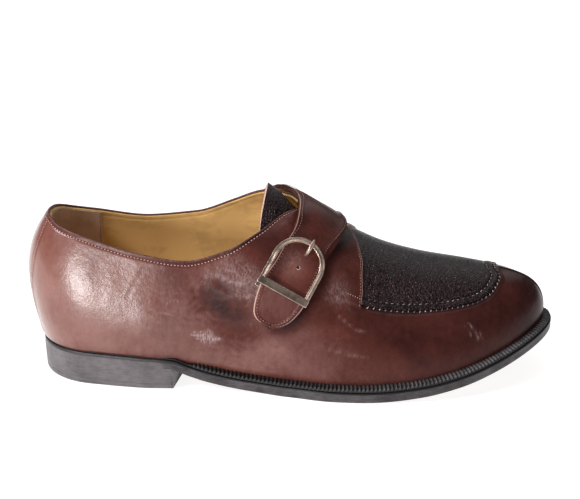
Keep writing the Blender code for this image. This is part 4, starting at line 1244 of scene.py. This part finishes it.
def makeCounterLining():
    # Suede round the heel, laid over the tan lining
    sizes = liningSettings
    sweep = np.linspace(-1, 1, 120)
    rise = np.concatenate([np.linspace(0.02, 0.93, 26), np.linspace(0.94, 0.988, 8)])
    places = np.zeros((len(sweep), len(rise), 3))
    for i, at in enumerate(sweep):
        side = lateral if at < 0 else medial
        station = np.full(len(rise), abs(at) * sizes["counterEnd"])
        lift = sizes["counterLift"] * min(1.0, (1 - abs(at)) * 40)
        deep = lastSizes["wall"] + 0.05 * mm + lift
        places[i] = onLast(station, rise, side) - outward(station, rise, side) * deep
    # Painted light: paler towards its front edges
    piece = gridPiece("counterLining", places, {"tone": (sweep**4)[:, None] * 0.8})
    turnedOut(piece, (-0.3, 0, 0.05))
    addModifier(piece, "SOLIDIFY", thickness=sizes["counterThickness"], offset=-1.0)
    return finished(piece, [suede], smooth=60)


apronSettings = {
    "stations": 290, "rows": 46, "thickness": 1.4 * mm, "bandWidth": 4.3 * mm,
    "bandPuff": 0.75 * mm, "grooveWidth": 0.8 * mm, "grooveDepth": 0.75 * mm,
    "edgeDrop": 1.1 * mm, "tuckUnder": 0.9 * mm,
}
# Fine wrinkles that run up from the seam over the ball, on both sides
wrinkleSettings = {
    "from": 0.640, "to": 0.765, "count": 11, "depth": 0.50 * mm, "width": 0.65 * mm, "seed": 4,
}


def seamLine(side, count=200):
    # The apron's seam on one side: points, outward directions, stations and rises
    station = np.linspace(flapStation + 0.004, 1, count)
    rise = seamRise(station)
    station = bowed(station, rise)
    return onLast(station, rise, side), outward(station, rise, side), station, rise


def makeApron():
    # Pebbled apron with a puffed border between the seam's two rows of stitches
    sizes, folds = apronSettings, wrinkleSettings
    start = [flapStation - 0.006]
    s = np.concatenate([start, np.linspace(flapStation + 0.001, 1, sizes["stations"])])
    share = np.concatenate([np.linspace(0, 0.16, 18), np.linspace(0.18, 1, sizes["rows"] - 18)])
    seam = seamRise(s)[:, None]
    rises = seam + (1 - seam) * share[None, :]
    seams = [seamLine(side)[0] for side in (lateral, medial)]
    rng = np.random.default_rng(folds["seed"])
    band = sizes["bandWidth"]
    shells = []
    for side in (lateral, medial):
        points, out = skinGrid(side, s, rises)
        # Rubbed at the sides of the ball, and along the folds
        rubbed = 0.55 * eased((0.86 - s[:, None]) / 0.10) * eased((0.60 - share[None, :]) / 0.45)
        far = np.minimum(nearest(points, seams[0]), nearest(points, seams[1]))
        puff = np.sin(np.pi * np.clip(far / band, 0, 1))**0.6 * (far < band)
        lift = 0.1 * mm + sizes["bandPuff"] * puff
        lift = lift - sizes["grooveDepth"] * bell(far - band, sizes["grooveWidth"])
        lift = lift - sizes["edgeDrop"] * bell(far, 0.45 * mm)
        for k in range(folds["count"]):
            along = (k + 0.5 * rng.random()) / folds["count"]
            at = folds["from"] + (folds["to"] - folds["from"]) * along
            top = 0.52 + 0.26 * rng.random()
            marks = [(at, float(seamRise(at)) + 0.06), (at - 0.004, 0.55), (at - 0.010, top)]
            fold = nearest(points, markOnLast(side, marks, count=40)[0])
            deep = folds["depth"] * (0.4 + 0.6 * rng.random())
            lift = lift - deep * bell(fold, folds["width"])
            rubbed = rubbed + 0.9 * bell(fold - 0.9 * mm, 0.4 * mm)
        # The back edge goes under the quarters
        lift = np.where(s[:, None] < flapStation, -sizes["tuckUnder"], lift)
        shells.append(gridPiece("apronSide", points + out * lift[..., None], {"tone": rubbed}))
    piece = turnedOut(welded(joined("apronPebbled", shells)), (0.15, 0, 0))
    addModifier(piece, "SOLIDIFY", thickness=sizes["thickness"], offset=-1.0)
    return finished(piece, [pebbled], ["apron"], smooth=70)


tongueSettings = {
    "across": 60, "along": 30, "thickness": 2.2 * mm, "turn": math.radians(82), "startAlong": 0.436,
    "up": 1.086, "acrossShare": 0.042, "halfLateral": 0.238, "halfMedial": 0.184, "drop": 0.292,
    "backCurve": 4 * mm, "front": 0.632, "sideRise": 0.70, "sag": 9.2 * mm, "clear": 1.3 * mm,
    "tone": 0.8,
}


def makeTongue():
    # Pebbled tongue, arched across the instep, its back end standing above the collar
    sizes = tongueSettings
    ballWidth, instep = lastSizes["ballWidth"], lastSizes["instepHeight"]
    turns = np.linspace(1, -1, sizes["across"]) * sizes["turn"]
    part = np.linspace(0, 1, sizes["along"])[:, None]
    rows = []
    for turn in turns:
        side = lateral if turn < 0 else medial
        half = sizes["halfLateral"] if turn < 0 else sizes["halfMedial"]
        back = np.array([
            placeX(sizes["startAlong"]) - sizes["backCurve"] * math.sin(turn)**2,
            sizes["acrossShare"] * ballWidth + half * ballWidth * math.sin(turn),
            sizes["up"] * instep - sizes["drop"] * instep * (1 - math.cos(turn))])
        rise = 1 - (1 - sizes["sideRise"]) * abs(turn) / sizes["turn"]
        deep = outward(sizes["front"], rise, side)
        front = onLast(sizes["front"], rise, side) - deep * (lastSizes["wall"] + sizes["clear"])
        # part**2 * (1 - part) is at most 1 / 6.75
        sag = sizes["sag"] * 6.75 * part**2 * (1 - part)
        rows.append(back + (front - back) * part - deep * sag)
    piece = gridPiece("tonguePebbled", np.stack(rows, 0), {"tone": sizes["tone"]})
    turnedOut(piece, (0.12, 0, 0))
    layers = [pebbled, cutEdge, lining]
    dressed(piece, layers)
    addModifier(piece, "SOLIDIFY", thickness=sizes["thickness"], offset=-1.0, material_offset=2,
                material_offset_rim=1)
    return finished(piece, layers, ["tongue"], smooth=60)


# Strap from the inner quarter over the instep to its tip: station and rise of its rear and front
# edges, and their lifts in shares of the strap's lift
strapColumns = "row stationRear riseRear stationFront riseFront liftRear liftFront"
strapInner = rowTable(
    strapColumns,
    (0, 0.462, 0.930, 0.578, 0.560, -0.50, -0.60), (1, 0.490, 0.965, 0.583, 0.700, 0.10, 0.10),
    (2, 0.514, 0.988, 0.587, 0.830, 0.80, 0.50))
strapOuter = rowTable(
    strapColumns,
    (0, 0.533, 0.860, 0.593, 0.860, 2.60, 1.40), (1, 0.519, 0.775, 0.568, 0.640, 1.60, 1.60),
    (2, 0.503, 0.720, 0.551, 0.560, 1.50, 1.50), (3, 0.481, 0.655, 0.532, 0.485, 1.80, 1.80),
    (4, 0.464, 0.530, 0.514, 0.410, 1.10, 1.10), (5, 0.459, 0.452, 0.500, 0.352, 1.00, 1.00))
strapCrest = rowTable(
    "along across up", (0.493, 0.045, 1.006), (0.538, 0.050, 0.948), (0.579, 0.055, 0.871))

strapSettings = {
    "across": 44, "start": -0.125, "thickness": 2.6 * mm, "lift": 2.3 * mm, "round": 0.80,
    "roundPower": 2.4, "tipShare": 0.004, "stitchInset": 1.9 * mm, "stitchGroove": 0.30 * mm,
    "stitchEnd": 0.970, "padding": 0.35 * mm, "swell": 1.3 * mm, "press": 0.5 * mm,
    "smoothings": 60, "bevel": 0.35 * mm,
}
# Places along and across the strap; a ring of cut leather round a dark eye of painted shade
holeSettings = {
    "places": ((0.655, 0.56), (0.545, 0.60)), "ring": 0.90 * mm, "rim": 0.22 * mm, "eye": 0.95 * mm,
    "eyeShift": (-0.30 * mm, 0.0, 0.25 * mm), "ringFlat": 0.9, "eyeFlat": 0.36,
}
buckleSettings = {
    "at": 0.665, "reach": 0.09, "width": 30.5 * mm, "length": 35.0 * mm, "wire": 2.8 * mm,
    "bar": 4.6 * mm, "frameFlat": 0.85, "barFlat": 0.75, "lugWidth": 2.2 * mm,
    "lugLength": 4.5 * mm, "barBevel": 0.55 * mm, "lugBevel": 0.5 * mm, "blockTone": 0.22,
    "prongWidth": 2.1 * mm, "prongLength": 9.5 * mm, "prongFlat": 0.6, "prongBeyond": 1.2 * mm,
    "prongAcross": 0.06,
}


def strapPoints(along, across):
    # Underside of the strap between its rear (0) and front (1) edges; along is 0 where it leaves
    # the quarter, 1 at its tip, and below 0 where it is sewn in
    along, across = np.broadcast_arrays(np.asarray(along, float), np.asarray(across, float))
    rows = []

    def fromTable(source, side):
        for i in range(len(source["row"])):
            station, rise, lift = [
                source[word + "Rear"][i] * (1 - across) + source[word + "Front"][i] * across
                for word in ("station", "rise", "lift")]
            rise = np.clip(rise, 0, 1)
            lifted = outward(station, rise, side) * (lift * strapSettings["lift"])[..., None]
            rows.append(onLast(station, rise, side) + lifted)

    fromTable(strapInner, medial)
    y = middleAt(strapCrest["along"]) + strapCrest["across"] * lastSizes["ballWidth"]
    z = strapCrest["up"] * lastSizes["instepHeight"]
    rows.append(curveThrough(np.stack([placeX(strapCrest["along"]), y, z], -1), across))
    fromTable(strapOuter, lateral)
    rows = np.stack(rows, 0)
    count = rows.shape[0] - 1
    rows = np.concatenate([2 * rows[:1] - rows[1:2], rows, 2 * rows[-1:] - rows[-2:-1]], 0)
    travel = np.clip(along * (count - 1) + 1, 0, count)
    i = np.minimum(travel.astype(int), count - 1)
    near = [np.take_along_axis(rows, (i + k)[None, ..., None], 0)[0] for k in range(4)]
    return between(*near, (travel - i)[..., None])


def strapHalf(place, end=1.0):
    # Half of the width that is left at a place, as the tip rounds off towards its end
    sizes = strapSettings
    past = np.clip((place - sizes["round"]) / (end - sizes["round"]), 0, 1)
    return 0.5 * np.sqrt(np.maximum(1 - past**sizes["roundPower"], sizes["tipShare"]))


def buckleFrame():
    # Middle of the buckle with its directions; it lies flat, clear of the strap's highest point
    sizes = buckleSettings
    at, reach = sizes["at"], sizes["reach"]
    centre = strapPoints(at, 0.5)
    ahead = unit(strapPoints(at + reach, 0.5) - strapPoints(at - reach, 0.5))
    out = unit(np.cross(ahead, strapPoints(at, 0.8) - strapPoints(at, 0.2)))
    front = unit(np.cross(out, ahead))
    around = (at + reach * np.arange(-5, 6) / 4)[:, None]
    spread = strapPoints(around, np.linspace(0, 1, 9)[None, :])
    level = float(np.max((spread - centre) @ out))
    level += strapSettings["thickness"] + lastSizes["gap"] + sizes["wire"] / 2
    return centre, ahead, front, out, level


def makeStrap():
    # Laid over the instep, then smoothed where it hangs free between the quarter and the buckle
    sizes = strapSettings
    body = np.linspace(sizes["start"], sizes["round"], 115)
    tip = 1 - 0.20 * (1 - np.linspace(0, 1, 46)[1:])**1.6
    place = np.concatenate([body, tip])
    half = strapHalf(place)
    spread = np.linspace(-1, 1, sizes["across"])
    spread = 0.35 * spread + 0.65 * np.sin(np.pi / 2 * spread)
    across = 0.5 + half[:, None] * spread[None, :]
    points = strapPoints(place[:, None], across)
    free = eased((place[1:-1] - 0.04) / 0.1) * eased((0.62 - place[1:-1]) / 0.1)
    for _ in range(sizes["smoothings"]):
        middle = (points[:-2] + points[2:]) / 2
        points[1:-1] += (middle - points[1:-1]) * (0.5 * free)[:, None, None]
    out = unit(np.cross(np.gradient(points, axis=1), np.gradient(points, axis=0)))
    width = np.linalg.norm(points[:, -1] - points[:, 0], axis=-1)[:, None]
    toEdge = (half[:, None] - np.abs(across - 0.5)) * width / np.maximum(2 * half[:, None], 0.05)
    centre, ahead, front, up, _ = buckleFrame()
    local = points - centre
    lengthwise, crosswise = local @ ahead, local @ front
    # The leather swells through the open frame and is pressed down under the bar
    swell = bell(lengthwise + 1.5 * mm, 8 * mm, 4) * bell(crosswise, 8 * mm, 4)
    barAt = (buckleSettings["length"] - buckleSettings["bar"]) / 2
    lift = (sizes["swell"] * swell - sizes["press"] * bell(lengthwise - barAt, 3 * mm)
            - sizes["stitchGroove"] * bell(toEdge - sizes["stitchInset"], 0.5 * mm)
            + sizes["padding"] * eased(toEdge / (5 * mm)))
    # Darker at its edges and over the instep, lighter and hazy inside the frame
    rubbed = bell(lengthwise + 1 * mm, 9 * mm) * bell(crosswise, 9 * mm)
    tone = 0.32 + 0.25 * bell(toEdge, 1.6 * mm) - 0.60 * rubbed
    tone = tone + 0.22 * eased((0.5 - place[:, None]) / 0.2)
    haze = 0.22 * bell(lengthwise + 3 * mm, 7 * mm) * bell(crosswise + 3 * mm, 6 * mm)
    cut = 0.85 * eased((0.75 * mm - toEdge) / (0.35 * mm))
    cut = cut * np.where(across > 0.5, 0.45 * eased((place[:, None] - 0.7) / 0.1), 1.0)
    fields = {"tone": tone, "haze": haze, "cut": cut}
    piece = gridPiece("strapLeather", points + out * lift[..., None], fields)
    turnedOut(piece, (0.12, 0, 0))
    layers = [strapCalf, strapEdge, lining]
    dressed(piece, layers)
    addModifier(piece, "SOLIDIFY", thickness=sizes["thickness"], offset=1.0, material_offset=2,
                material_offset_rim=1)
    addModifier(piece, "BEVEL", width=sizes["bevel"], segments=2, limit_method="ANGLE",
                angle_limit=math.radians(55))
    finished(piece, layers, ["strap"], smooth=50)
    punchHoles(piece, up)
    return piece


def punchHoles(strap, up):
    # Each hole is a dark eye of painted shade in a pale cut ring; its pull towards the tip hides
    # the ring's far side
    sizes = holeSettings
    rings, eyes = [], []
    for along, across in sizes["places"]:
        above = Vector(strapPoints(along, across) + up * 8 * mm)
        spot, normal = strap.closest_point_on_mesh(above)[1:3]
        turn = normal.to_track_quat("Z", "Y").to_matrix().to_4x4()
        for batch, flat, shift in ((rings, sizes["ringFlat"], (0, 0, 0)),
                                   (eyes, sizes["eyeFlat"], sizes["eyeShift"])):
            bpy.ops.object.select_all(action="DESELECT")
            if batch is rings:
                bpy.ops.mesh.primitive_torus_add(
                    major_segments=20, minor_segments=8, major_radius=sizes["ring"],
                    minor_radius=sizes["rim"])
            else:
                bpy.ops.mesh.primitive_uv_sphere_add(segments=16, ring_count=8, radius=sizes["eye"])
            made = bpy.context.object
            squash = Matrix.Diagonal((1, 1, flat, 1))
            made.matrix_world = Matrix.Translation(spot + Vector(shift)) @ turn @ squash
            bpy.ops.object.transform_apply(location=True, rotation=True, scale=True)
            batch.append(made)
    finished(joined("strapHoleRings", rings), [cutEdge], smooth=0)
    finished(joined("strapHoleEyes", eyes), [needleHole], smooth=0)


def buckleSections(path, section, normal):
    # A closed profile carried along a path that lies flat to one normal
    path = np.asarray(path)
    ahead = np.concatenate([path[1:], path[-1:]])
    behind = np.concatenate([path[:1], path[:-1]])
    run = unit(ahead - behind)
    level = unit(np.cross(normal, run))
    return (path[:, None] + level[:, None] * section[None, :, 0, None]
            + np.asarray(normal)[None, None] * section[None, :, 1, None])


def makeBuckle():
    # A cast frame, open at the bar's end, with the flat bar and its lug laid into it
    sizes = buckleSettings
    centre, ahead, front, out, level = buckleFrame()

    def place(along, across, up=0.0):
        return centre + ahead * along + front * across + out * (level + up)

    half = (sizes["width"] - sizes["wire"]) / 2
    barAt = (sizes["length"] - sizes["bar"]) / 2
    arcAt = half - (sizes["length"] - sizes["wire"]) / 2
    path = [place(a, -half) for a in np.linspace(barAt, arcAt, 14)]
    path += [place(arcAt - half * math.sin(t), -half * math.cos(t))
             for t in np.linspace(0, math.pi, 60)[1:-1]]
    path += [place(a, half) for a in np.linspace(arcAt, barAt, 14)]
    # Cast profile: a high outer rim, a hollow, and a lower inner rim
    profile = [(-1.0, -0.2), (-0.98, 0.45), (-0.80, 0.88), (-0.50, 0.92), (-0.22, 0.55),
               (0.05, 0.22), (0.35, 0.20), (0.60, 0.42), (0.85, 0.38), (1.0, 0.05),
               (0.95, -0.5), (0.6, -0.85), (0.0, -0.95), (-0.6, -0.85), (-0.95, -0.6)]
    halfSizes = [0.56 * sizes["wire"], sizes["wire"] * sizes["frameFlat"] / 2]
    section = np.array(profile + profile[:1]) * halfSizes
    band = gridPiece("frameBand", buckleSections(path, section, out))
    addModifier(band, "SUBSURF", levels=1, render_levels=1)
    # Both open ends are capped
    editAll(welded(band))
    bpy.ops.mesh.region_to_loop()
    bpy.ops.mesh.fill()
    bpy.ops.mesh.select_all(action="SELECT")
    bpy.ops.mesh.normals_make_consistent(inside=False)
    bpy.ops.object.mode_set(mode="OBJECT")
    pieces = [band]
    turn = Matrix((front, ahead, out)).transposed().to_4x4()
    reach = half + 0.6 * sizes["wire"]
    lugWidth, lugLength = sizes["lugWidth"], sizes["lugLength"]
    blocks = [(place(barAt, 0.0), (2 * reach, sizes["bar"], sizes["wire"] * sizes["barFlat"]),
               sizes["barBevel"]),
              (place(barAt + lugLength / 2, -reach + lugWidth / 2, -0.2 * mm),
               (lugWidth, lugLength, lugWidth * sizes["barFlat"]), sizes["lugBevel"])]
    for spot, size, corner in blocks:
        bpy.ops.object.select_all(action="DESELECT")
        bpy.ops.mesh.primitive_cube_add(size=1)
        block = bpy.context.object
        editAll(block)
        bpy.ops.transform.resize(value=size, center_override=(0, 0, 0))
        bpy.ops.mesh.subdivide(number_cuts=3)
        bpy.ops.object.mode_set(mode="OBJECT")
        addModifier(block, "BEVEL", width=corner, segments=4, limit_method="ANGLE",
                    angle_limit=math.radians(50))
        block.matrix_world = Matrix.Translation(Vector(spot)) @ turn
        bpy.ops.object.transform_apply(location=True, rotation=True, scale=True)
        field = block.data.attributes.new("tone", "FLOAT", "POINT")
        tone = np.full(len(block.data.vertices), sizes["blockTone"], np.float32)
        field.data.foreach_set("value", tone)
        pieces.append(block)
    piece = joined("buckleCast", pieces)
    return finished(piece, [antiqueBrass], ["buckle_frame"], smooth=55)


def makeProng():
    # The prong rises from the strap, bends over the frame and ends past it, blunt
    sizes = buckleSettings
    centre, ahead, front, out, level = buckleFrame()
    wire, width, length = sizes["wire"], sizes["prongWidth"], sizes["prongLength"]
    thick, gap = width * sizes["prongFlat"], lastSizes["gap"]
    tip = -(sizes["length"] / 2 + sizes["prongBeyond"])
    over = wire * sizes["frameFlat"] / 2 + gap + thick / 2
    marks = [(tip + length, -0.55 * wire), (tip + 0.85 * length, 0.25 * over),
             (tip + 0.62 * length, 0.95 * over), (tip + 0.34 * length, over + gap), (tip, over)]
    steps, corners = 28, 17
    line = curveThrough(marks, np.linspace(0, 1, steps))
    side = front * (sizes["prongAcross"] * sizes["width"])
    path = centre + ahead * line[:, :1] + side + out * (level + line[:, 1:])
    turns = np.linspace(0, 2 * math.pi, corners)
    section = np.stack([np.cos(turns) * width / 2, np.sin(turns) * thick / 2], -1)
    run = unit(np.gradient(path, axis=0))
    across = unit(np.cross(out, run))
    rise = np.cross(run, across)
    taper = np.sqrt(np.clip(1 - np.linspace(0, 1, steps)**6, 0.01, 1))[:, None, None]
    ring = across[:, None] * section[None, :, :1] + rise[:, None] * section[None, :, 1:]
    places = path[:, None] + ring * taper
    ends = [places.mean(1, keepdims=True)[k].repeat(corners, 0)[None] for k in (0, -1)]
    piece = welded(gridPiece("prongCast", np.concatenate([ends[0], places, ends[1]], 0)))
    return finished(piece, [antiqueBrass], ["buckle_prong"], smooth=50)


def sewn(name, line, normals, settings, material):
    # A row of stitches along a line, with a needle hole between each two, drawn as a dark mark of
    # painted shade
    pitch = settings["pitch"]
    template = stitchTemplate(settings["length"], settings["width"], settings["height"])
    places, ahead, out = evenly(line, normals, pitch)
    # Hand-pulled rows turn and sink unevenly
    uneven = settings.get("uneven", 0.0) * np.random.default_rng(7).normal(size=(2, len(places)))
    places = places - out * (0.5 * mm * np.abs(uneven[1]))[:, None]
    piece = copiesAlong(name, template, places, ahead, out, settings.get("turn", 0.0) + uneven[0])
    dropped(template)
    finished(piece, [material], smooth=0)
    hole = settings.get("hole")
    if hole:
        template = stitchTemplate(hole, hole, 0.5 * hole)
        piece = copiesAlong(name + "Holes", template, *evenly(line, normals, pitch, pitch / 2))
        dropped(template)
        finished(piece, [needleHole], smooth=0)


stitchSettings = {
    "collar": {"pitch": 1.95 * mm, "length": 1.15 * mm, "width": 0.66 * mm, "height": 0.50 * mm,
               "hole": 0.75 * mm},
    "strap": {"pitch": 1.80 * mm, "length": 1.00 * mm, "width": 0.46 * mm, "height": 0.36 * mm,
              "hole": 0.62 * mm},
    "flap": {"pitch": 1.80 * mm, "length": 1.10 * mm, "width": 0.46 * mm, "height": 0.36 * mm,
             "hole": 0.55 * mm},
    "apronInner": {"pitch": 3.4 * mm, "length": 1.9 * mm, "width": 0.55 * mm, "height": 0.55 * mm,
                   "hole": 0.8 * mm, "turn": 0.30, "uneven": 0.22},
    "apronOuter": {"pitch": 3.4 * mm, "length": 2.0 * mm, "width": 0.62 * mm, "height": 0.65 * mm,
                   "hole": 0.8 * mm, "turn": 1.00, "uneven": 0.25},
    "barTack": {"pitch": 1.5 * mm, "length": 0.9 * mm, "width": 0.40 * mm, "height": 0.35 * mm,
                "turn": 1.2},
    "toe": {"pitch": 2.4 * mm, "length": 1.3 * mm, "width": 0.45 * mm, "height": 0.40 * mm,
            "hole": 0.55 * mm},
    "backstay": {"pitch": 1.8 * mm, "length": 1.10 * mm, "width": 0.42 * mm, "height": 0.34 * mm,
                 "hole": 0.45 * mm},
}
# Rows on the lateral side are named Outer, those on the medial side Inner
bothSides = ((lateral, "Outer"), (medial, "Inner"))


def sewCollar():
    # From the strap's foot on the inner side round the heel to the throat
    lines, norms = [], []
    for side, start, end in ((lateral, 0.545, 0.0), (medial, 0.0, 0.478)):
        station = np.linspace(start, end, 260)
        below = onLast(station, 1.0, side) - onLast(station, 0.97, side)
        drop = 1 - upperSettings["collarStitch"] / (np.linalg.norm(below, axis=-1) / 0.03)
        out = outward(station, drop, side)
        step = upperSettings["backstayStep"] * eased((0.081 - station) / 0.004)
        lines.append(onLast(station, drop, side) + out * (step - 0.12 * mm)[:, None])
        norms.append(out)
    sewn("collarStitches", np.concatenate(lines), np.concatenate(norms), stitchSettings["collar"],
         roseThread)


def sewStrap():
    # Both long edges and round the tip
    sizes = strapSettings
    start, end = sizes["round"], sizes["stitchEnd"]
    tip = end - (end - start) * (1 - np.linspace(0, 1, 70)[1:])**2
    place = np.concatenate([np.linspace(0.03, start, 90), tip])
    width = np.linalg.norm(strapPoints(place, 1.0) - strapPoints(place, 0.0), axis=-1)
    half = strapHalf(place, end)
    half = np.clip(half - sizes["stitchInset"] / width * np.clip(2 * half, 0.0, 1), 0, 0.5)
    places = np.concatenate([place, place[::-1]])
    across = np.concatenate([0.5 - half, (0.5 + half)[::-1]])
    further, back = np.clip(places + 0.004, 0, 1), np.clip(places - 0.004, 0, 1)
    lengthwise = strapPoints(further, across) - strapPoints(back, across)
    wider, narrower = np.clip(across + 0.02, 0, 1), np.clip(across - 0.02, 0, 1)
    crosswise = strapPoints(places, wider) - strapPoints(places, narrower)
    out = unit(np.cross(crosswise, lengthwise))
    # Directions point up over the instep and away from the shoe near the tip
    out = out * np.sign(out @ np.array([0, 0, 1.0]) + 1e-9)[:, None]
    low = places > 0.55
    out[low] = out[low] * np.sign(-(out[low] @ np.array([0, 1.0, -0.3])))[:, None]
    line = strapPoints(places, across) + out * (sizes["thickness"] + 0.02 * mm)
    sewn("strapStitches", line, out, stitchSettings["strap"], wineThread)


def sewQuarters():
    # The quarters' front edges, the bar tacks at their foot, and the backstay
    rise = np.linspace(0.43, 0.985, 160)
    backRise = np.linspace(0.97, 0.10, 200)
    tack = [(0.577, 0.477), (0.585, 0.4745), (0.5935, 0.472)]
    for side, word in bothSides:
        station = bowed(np.full(160, flapStation), rise)
        station = station - 1.5 * mm / stationLength(station, rise, side)
        out = outward(station, rise, side)
        line = onLast(station, rise, side) + out * upperSettings["flapRise"]
        sewn("flapStitches" + word, line, out, stitchSettings["flap"], wineThread)
        line, out = markOnLast(side, tack, upperSettings["flapRise"] + 0.05 * mm)
        sewn("barTack" + word, line, out, stitchSettings["barTack"], roseThread)
        edge = smoothAt(backstayRows, "station", backRise)
        inset = upperSettings["backstayStitch"] / stationLength(edge, backRise, side)
        station = edge - inset
        out = outward(station, backRise, side)
        line = onLast(station, backRise, side) + out * (0.12 * mm)
        sewn("backstayStitches" + word, line, out, stitchSettings["backstay"], roseThread)


def sewApron():
    # An inner row in the groove and an outer row over the seam's lip, right round the toe
    for word, shift, lift in (("apronInner", apronSettings["bandWidth"], -0.15 * mm),
                              ("apronOuter", -0.5 * mm, 0.65 * mm)):
        lines, norms = [], []
        for side in (lateral, medial):
            base, out, station, rise = seamLine(side)
            across = unit(np.cross(out, unit(np.gradient(base, axis=0)))) * side
            above = onLast(station, np.clip(rise + 0.01, 0, 1), side)
            rising = unit(above - onLast(station, rise - 0.01, side))
            sign = np.sign(np.einsum("ij,ij->i", across, rising))[:, None]
            order = slice(None) if side == lateral else slice(None, None, -1)
            lines.append((base + across * sign * shift + out * lift)[order])
            norms.append(out[order])
        sewn(word + "Stitches", np.concatenate(lines), np.concatenate(norms), stitchSettings[word],
             paleThread)


def sewCounter():
    # Counter lining's front edge, sewn through the tan lining
    rise = np.linspace(0.97, 0.05, 160)
    station = np.full(160, liningSettings["counterEnd"] - 0.006)
    deep = lastSizes["wall"] + liningSettings["counterLift"] + 0.45 * mm
    for side, word in bothSides:
        out = -outward(station, rise, side)
        line = onLast(station, rise, side) + out * deep
        sewn("counterStitches" + word, line, out, stitchSettings["flap"], roseThread)


toeSeamSettings = {"half": 0.75 * mm, "height": 0.62 * mm, "sink": 0.12 * mm, "stitchAt": 1.15 * mm}


def makeToeSeam():
    # Split toe: a raised seam down the middle, with a row of stitches on each side
    sizes = toeSeamSettings
    rise = np.linspace(0.80, 0.02, 120)
    out = outward(np.ones(120), rise, lateral)
    line = onLast(np.ones(120), rise, lateral)
    across = unit(np.cross(out, unit(np.gradient(line, axis=0))))
    turns = np.linspace(0, math.pi, 9)
    wide = (sizes["half"] * np.cos(turns))[None, :, None]
    tall = (sizes["height"] * np.sin(turns))[None, :, None]
    ridge = (line - out * sizes["sink"])[:, None] + across[:, None] * wide + out[:, None] * tall
    seam = gridPiece("toeSeam", ridge, {"tone": 1.0, "haze": 0.0, "cut": 0.0})
    finished(turnedOut(seam, (0.15, 0, 0.02)), [calf])
    for word, shift in (("Left", -sizes["stitchAt"]), ("Right", sizes["stitchAt"])):
        sewn("toeStitches" + word, line + across * shift, out, stitchSettings["toe"], darkThread)


makeOutsole()
makeHeel()
makeWelt()
makeInsole()
makeUpper()
makeLining()
makeCounterLining()
makeApron()
makeTongue()
makeStrap()
makeBuckle()
makeProng()
sewCollar()
sewStrap()
sewQuarters()
sewApron()
sewCounter()
makeToeSeam()
print("shoe made")


# The floor glows a little, as a light table does, which keeps the shadows pale
stageSettings = {"floor": "#b4b4b4", "floorSize": 40.0, "glow": 0.86, "world": 0.16}
cameraSettings = {
    "place": (0.11495, -0.59979, 0.27917), "yaw": math.radians(-0.48), "down": math.radians(18.93),
    "roll": math.radians(0.85), "lens": 66.1, "sensor": 36.0,
}
lightSettings = {
    "key": {"place": (-0.72, -0.42, 0.74), "size": (0.24, 0.24), "power": 9.0,
            "aim": (0.12, 0.0, 0.04)},
    "window": {"place": (-0.55, -1.02, 0.15), "size": (0.42, 0.24), "power": 7.4,
               "aim": (0.0, 0.0, 0.06)},
    "fill": {"place": (0.95, -0.85, 0.75), "size": (1.0, 0.8), "power": 0.3,
             "aim": (0.12, 0.0, 0.04)},
    "top": {"place": (0.05, 0.10, 1.30), "size": (0.9, 0.7), "power": 3.6, "aim": (0.12, 0.0, 0.0)},
    "back": {"place": (0.20, 1.60, 1.40), "size": (3.0, 1.6), "power": 12.0,
             "aim": (0.15, 1.0, 0.0)},
}


def makeStage():
    # Colours come out as their hex values say
    bpy.context.scene.view_settings.view_transform = "Standard"
    bpy.ops.object.select_all(action="DESELECT")
    bpy.ops.mesh.primitive_plane_add(size=stageSettings["floorSize"])
    floor = bpy.context.object
    floor.name = "studioFloor"
    material, _, shader, _ = newMaterial("paperFloor", Roughness=0.9, Specular_IOR_Level=0.1)
    shader.inputs["Base Color"].default_value = shown(stageSettings["floor"])
    shader.inputs["Emission Color"].default_value = shown("#ffffff")
    shader.inputs["Emission Strength"].default_value = stageSettings["glow"]
    floor.data.materials.append(material)
    for name, light in lightSettings.items():
        bpy.ops.object.light_add(type="AREA", location=light["place"])
        lamp = bpy.context.object
        lamp.name = name + "Light"
        lamp.data.shape = "RECTANGLE"
        lamp.data.size, lamp.data.size_y = light["size"]
        lamp.data.energy = light["power"]
        lamp.visible_camera = False
        away = Vector(light["aim"]) - lamp.location
        lamp.rotation_euler = away.to_track_quat("-Z", "Y").to_euler()
    world = bpy.context.scene.world or bpy.data.worlds.new("studio")
    bpy.context.scene.world = world
    world.use_nodes = True
    background = world.node_tree.nodes["Background"]
    background.inputs["Color"].default_value = shown("#ffffff")
    background.inputs["Strength"].default_value = stageSettings["world"]


def makeCamera():
    # Turned a little to the left, tilted down, and rolled, as it was fitted to the photo
    sizes = cameraSettings
    yaw, down, roll = sizes["yaw"], sizes["down"], sizes["roll"]
    look = Vector((math.sin(yaw) * math.cos(down), math.cos(yaw) * math.cos(down), -math.sin(down)))
    right = Vector((math.cos(yaw), -math.sin(yaw), 0))
    up = right.cross(look)
    level = math.cos(roll) * right + math.sin(roll) * up
    upright = -math.sin(roll) * right + math.cos(roll) * up
    bpy.ops.object.camera_add(location=sizes["place"])
    camera = bpy.context.object
    turn = Matrix((level, upright, -look)).transposed().to_4x4()
    camera.matrix_world = Matrix.Translation(Vector(sizes["place"])) @ turn
    camera.data.lens = sizes["lens"]
    camera.data.sensor_width = sizes["sensor"]
    camera.data.clip_start = 0.01
    bpy.context.scene.camera = camera


makeStage()
makeCamera()
